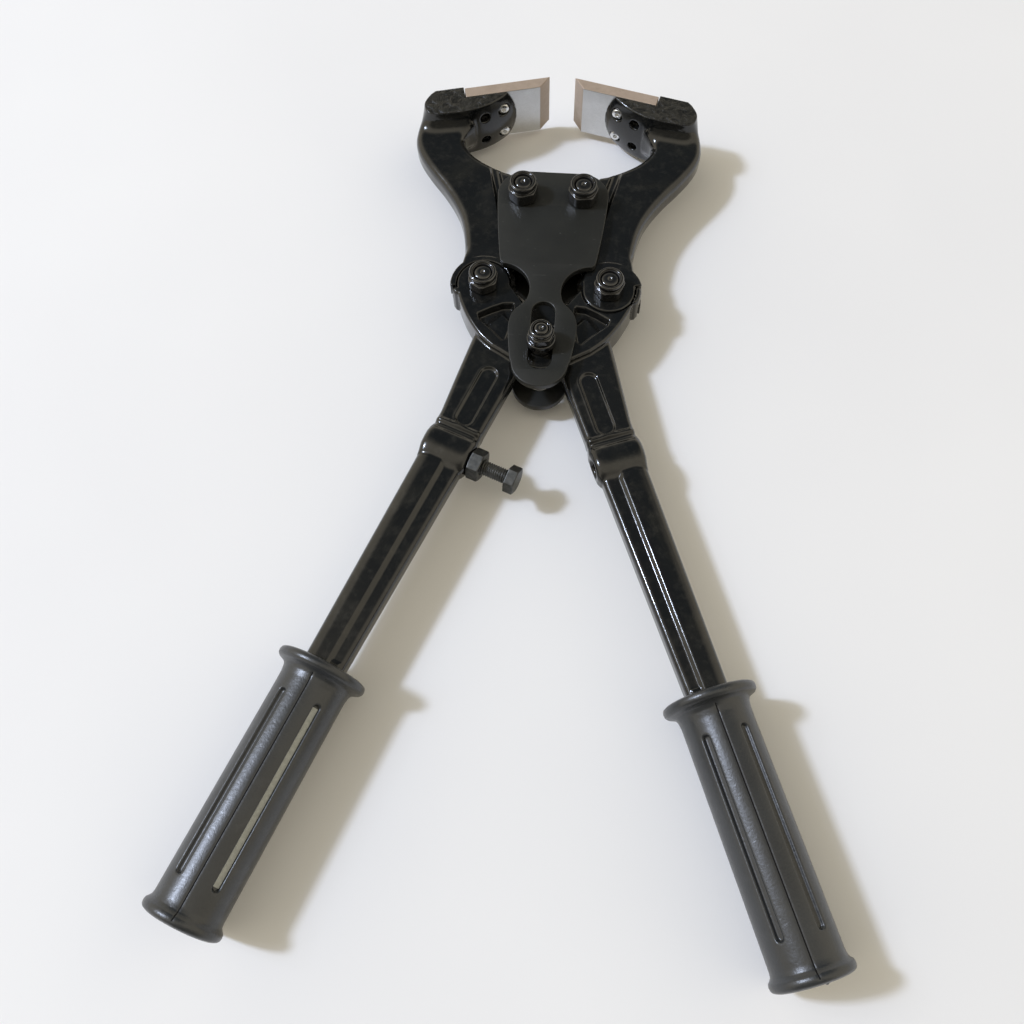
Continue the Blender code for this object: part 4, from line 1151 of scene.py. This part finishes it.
# ------------------------------------------------------------------ floor, light, camera
def paper():
    nodes = new_material("plain_white_paper")
    cloud = nodes.noise(scale=3.0, detail=3.0)
    nodes.set("Base Color", nodes.blend(cloud, low=0.3, high=0.7, under=(0.80, 0.80, 0.805),
                                        over=(0.84, 0.84, 0.84)))
    nodes.set("Roughness", 0.75)
    nodes.bump(nodes.noise(scale=700.0, detail=3.0), strength=0.05, depth=0.05)
    return nodes.owner


def paper_floor():
    """Laid paper with very shallow, long folds."""
    bm = bmesh.new()
    bmesh.ops.create_grid(bm, x_segments=120, y_segments=120, size=2.2)
    for vert in bm.verts:
        x, y, _ = vert.co
        vert.co.z = 0.00035 * math.sin(x * 21 + 0.6 * math.sin(y * 5)) * math.sin(y * 3.1 + 1.0)
    mesh = bpy.data.meshes.new("paper_floor")
    bm.to_mesh(mesh)
    bm.free()
    mesh.shade_smooth()
    floor = new_object("paper_floor", mesh)
    floor.location = ORIGIN + Vector((0, 0, (FLOOR - 0.5) * MM))
    finish_with(floor, paper())
    floor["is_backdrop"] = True


def soft_room():
    """An even warm room, darker overhead on the far (+Y) side and towards the near side."""
    nodes = Nodes(bpy.data.worlds.new("soft_room"), "Generated")
    background = nodes.tree.nodes["Background"]
    overhead = nodes.remap(nodes.dot(nodes.coords, (0.06, 0.62, 0.78)), low=0.72, high=0.96,
                           interpolation_type="SMOOTHSTEP")
    nodes.feed(background.inputs["Color"],
               nodes.mix(overhead, under=(1.0, 0.91, 0.73), over=(0.105, 0.118, 0.125)))
    near_side = nodes.remap(nodes.dot(nodes.coords, (0.05, -0.93, 0.36)), low=0.55, high=0.88,
                            to_low=1.0, to_high=0.22, interpolation_type="SMOOTHSTEP")
    nodes.feed(background.inputs["Strength"], near_side)
    # seen directly, the room is a plain pale backdrop
    backdrop = nodes.add("ShaderNodeBackground", {"Color": (0.80, 0.80, 0.80, 1)})
    seen = nodes.add("ShaderNodeLightPath").outputs["Is Camera Ray"]
    choice = nodes.add("ShaderNodeMixShader",
                       {0: seen, 1: background.outputs[0], 2: backdrop.outputs[0]})
    nodes.feed(nodes.tree.nodes["World Output"].inputs["Surface"], choice.outputs[0])
    return nodes.owner


def lamp(name, at, width, height, power, tint):
    """A rectangular lamp (metres, watts) aimed at the tool."""
    data = bpy.data.lights.new(name, "AREA")
    data.shape = "RECTANGLE"
    data.size = width
    data.size_y = height
    data.energy = power
    data.color = tint
    obj = new_object(name, data)
    obj.location = at
    aim = Vector((0, -0.1, 0)) - Vector(at)
    obj.rotation_euler = aim.to_track_quat("-Z", "Y").to_euler()


def view_camera():
    data = bpy.data.cameras.new("photograph_view")
    data.sensor_width = 36.0
    data.lens = 34.981875
    data.clip_start = 0.02
    camera = new_object("photograph_view", data)
    right = Vector((0.9964, 0.081736, -0.022518))
    up = Vector((-0.066469, 0.918, 0.390971))
    ahead = Vector((-0.052628, 0.388066, -0.920128))
    turn = Matrix((right, up, -ahead)).transposed().to_4x4()
    spot = ORIGIN + Vector((18.4492, -288.6786, 463.8604)) * MM
    camera.matrix_world = Matrix.Translation(spot) @ turn
    return camera


paper_floor()
bpy.context.scene.world = soft_room()
bpy.context.scene.view_settings.view_transform = "Standard"
lamp("window", at=(-3.75, 0.0, 4.26), width=0.46, height=0.50, power=185.0,
     tint=(0.70, 0.79, 1.0))
lamp("sky_in_window", at=(-3.9, 0.1, 4.2), width=1.7, height=1.7, power=60.0,
     tint=(0.72, 0.82, 1.0))
bpy.context.scene.camera = view_camera()

bpy.context.view_layer.update()
low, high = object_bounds()
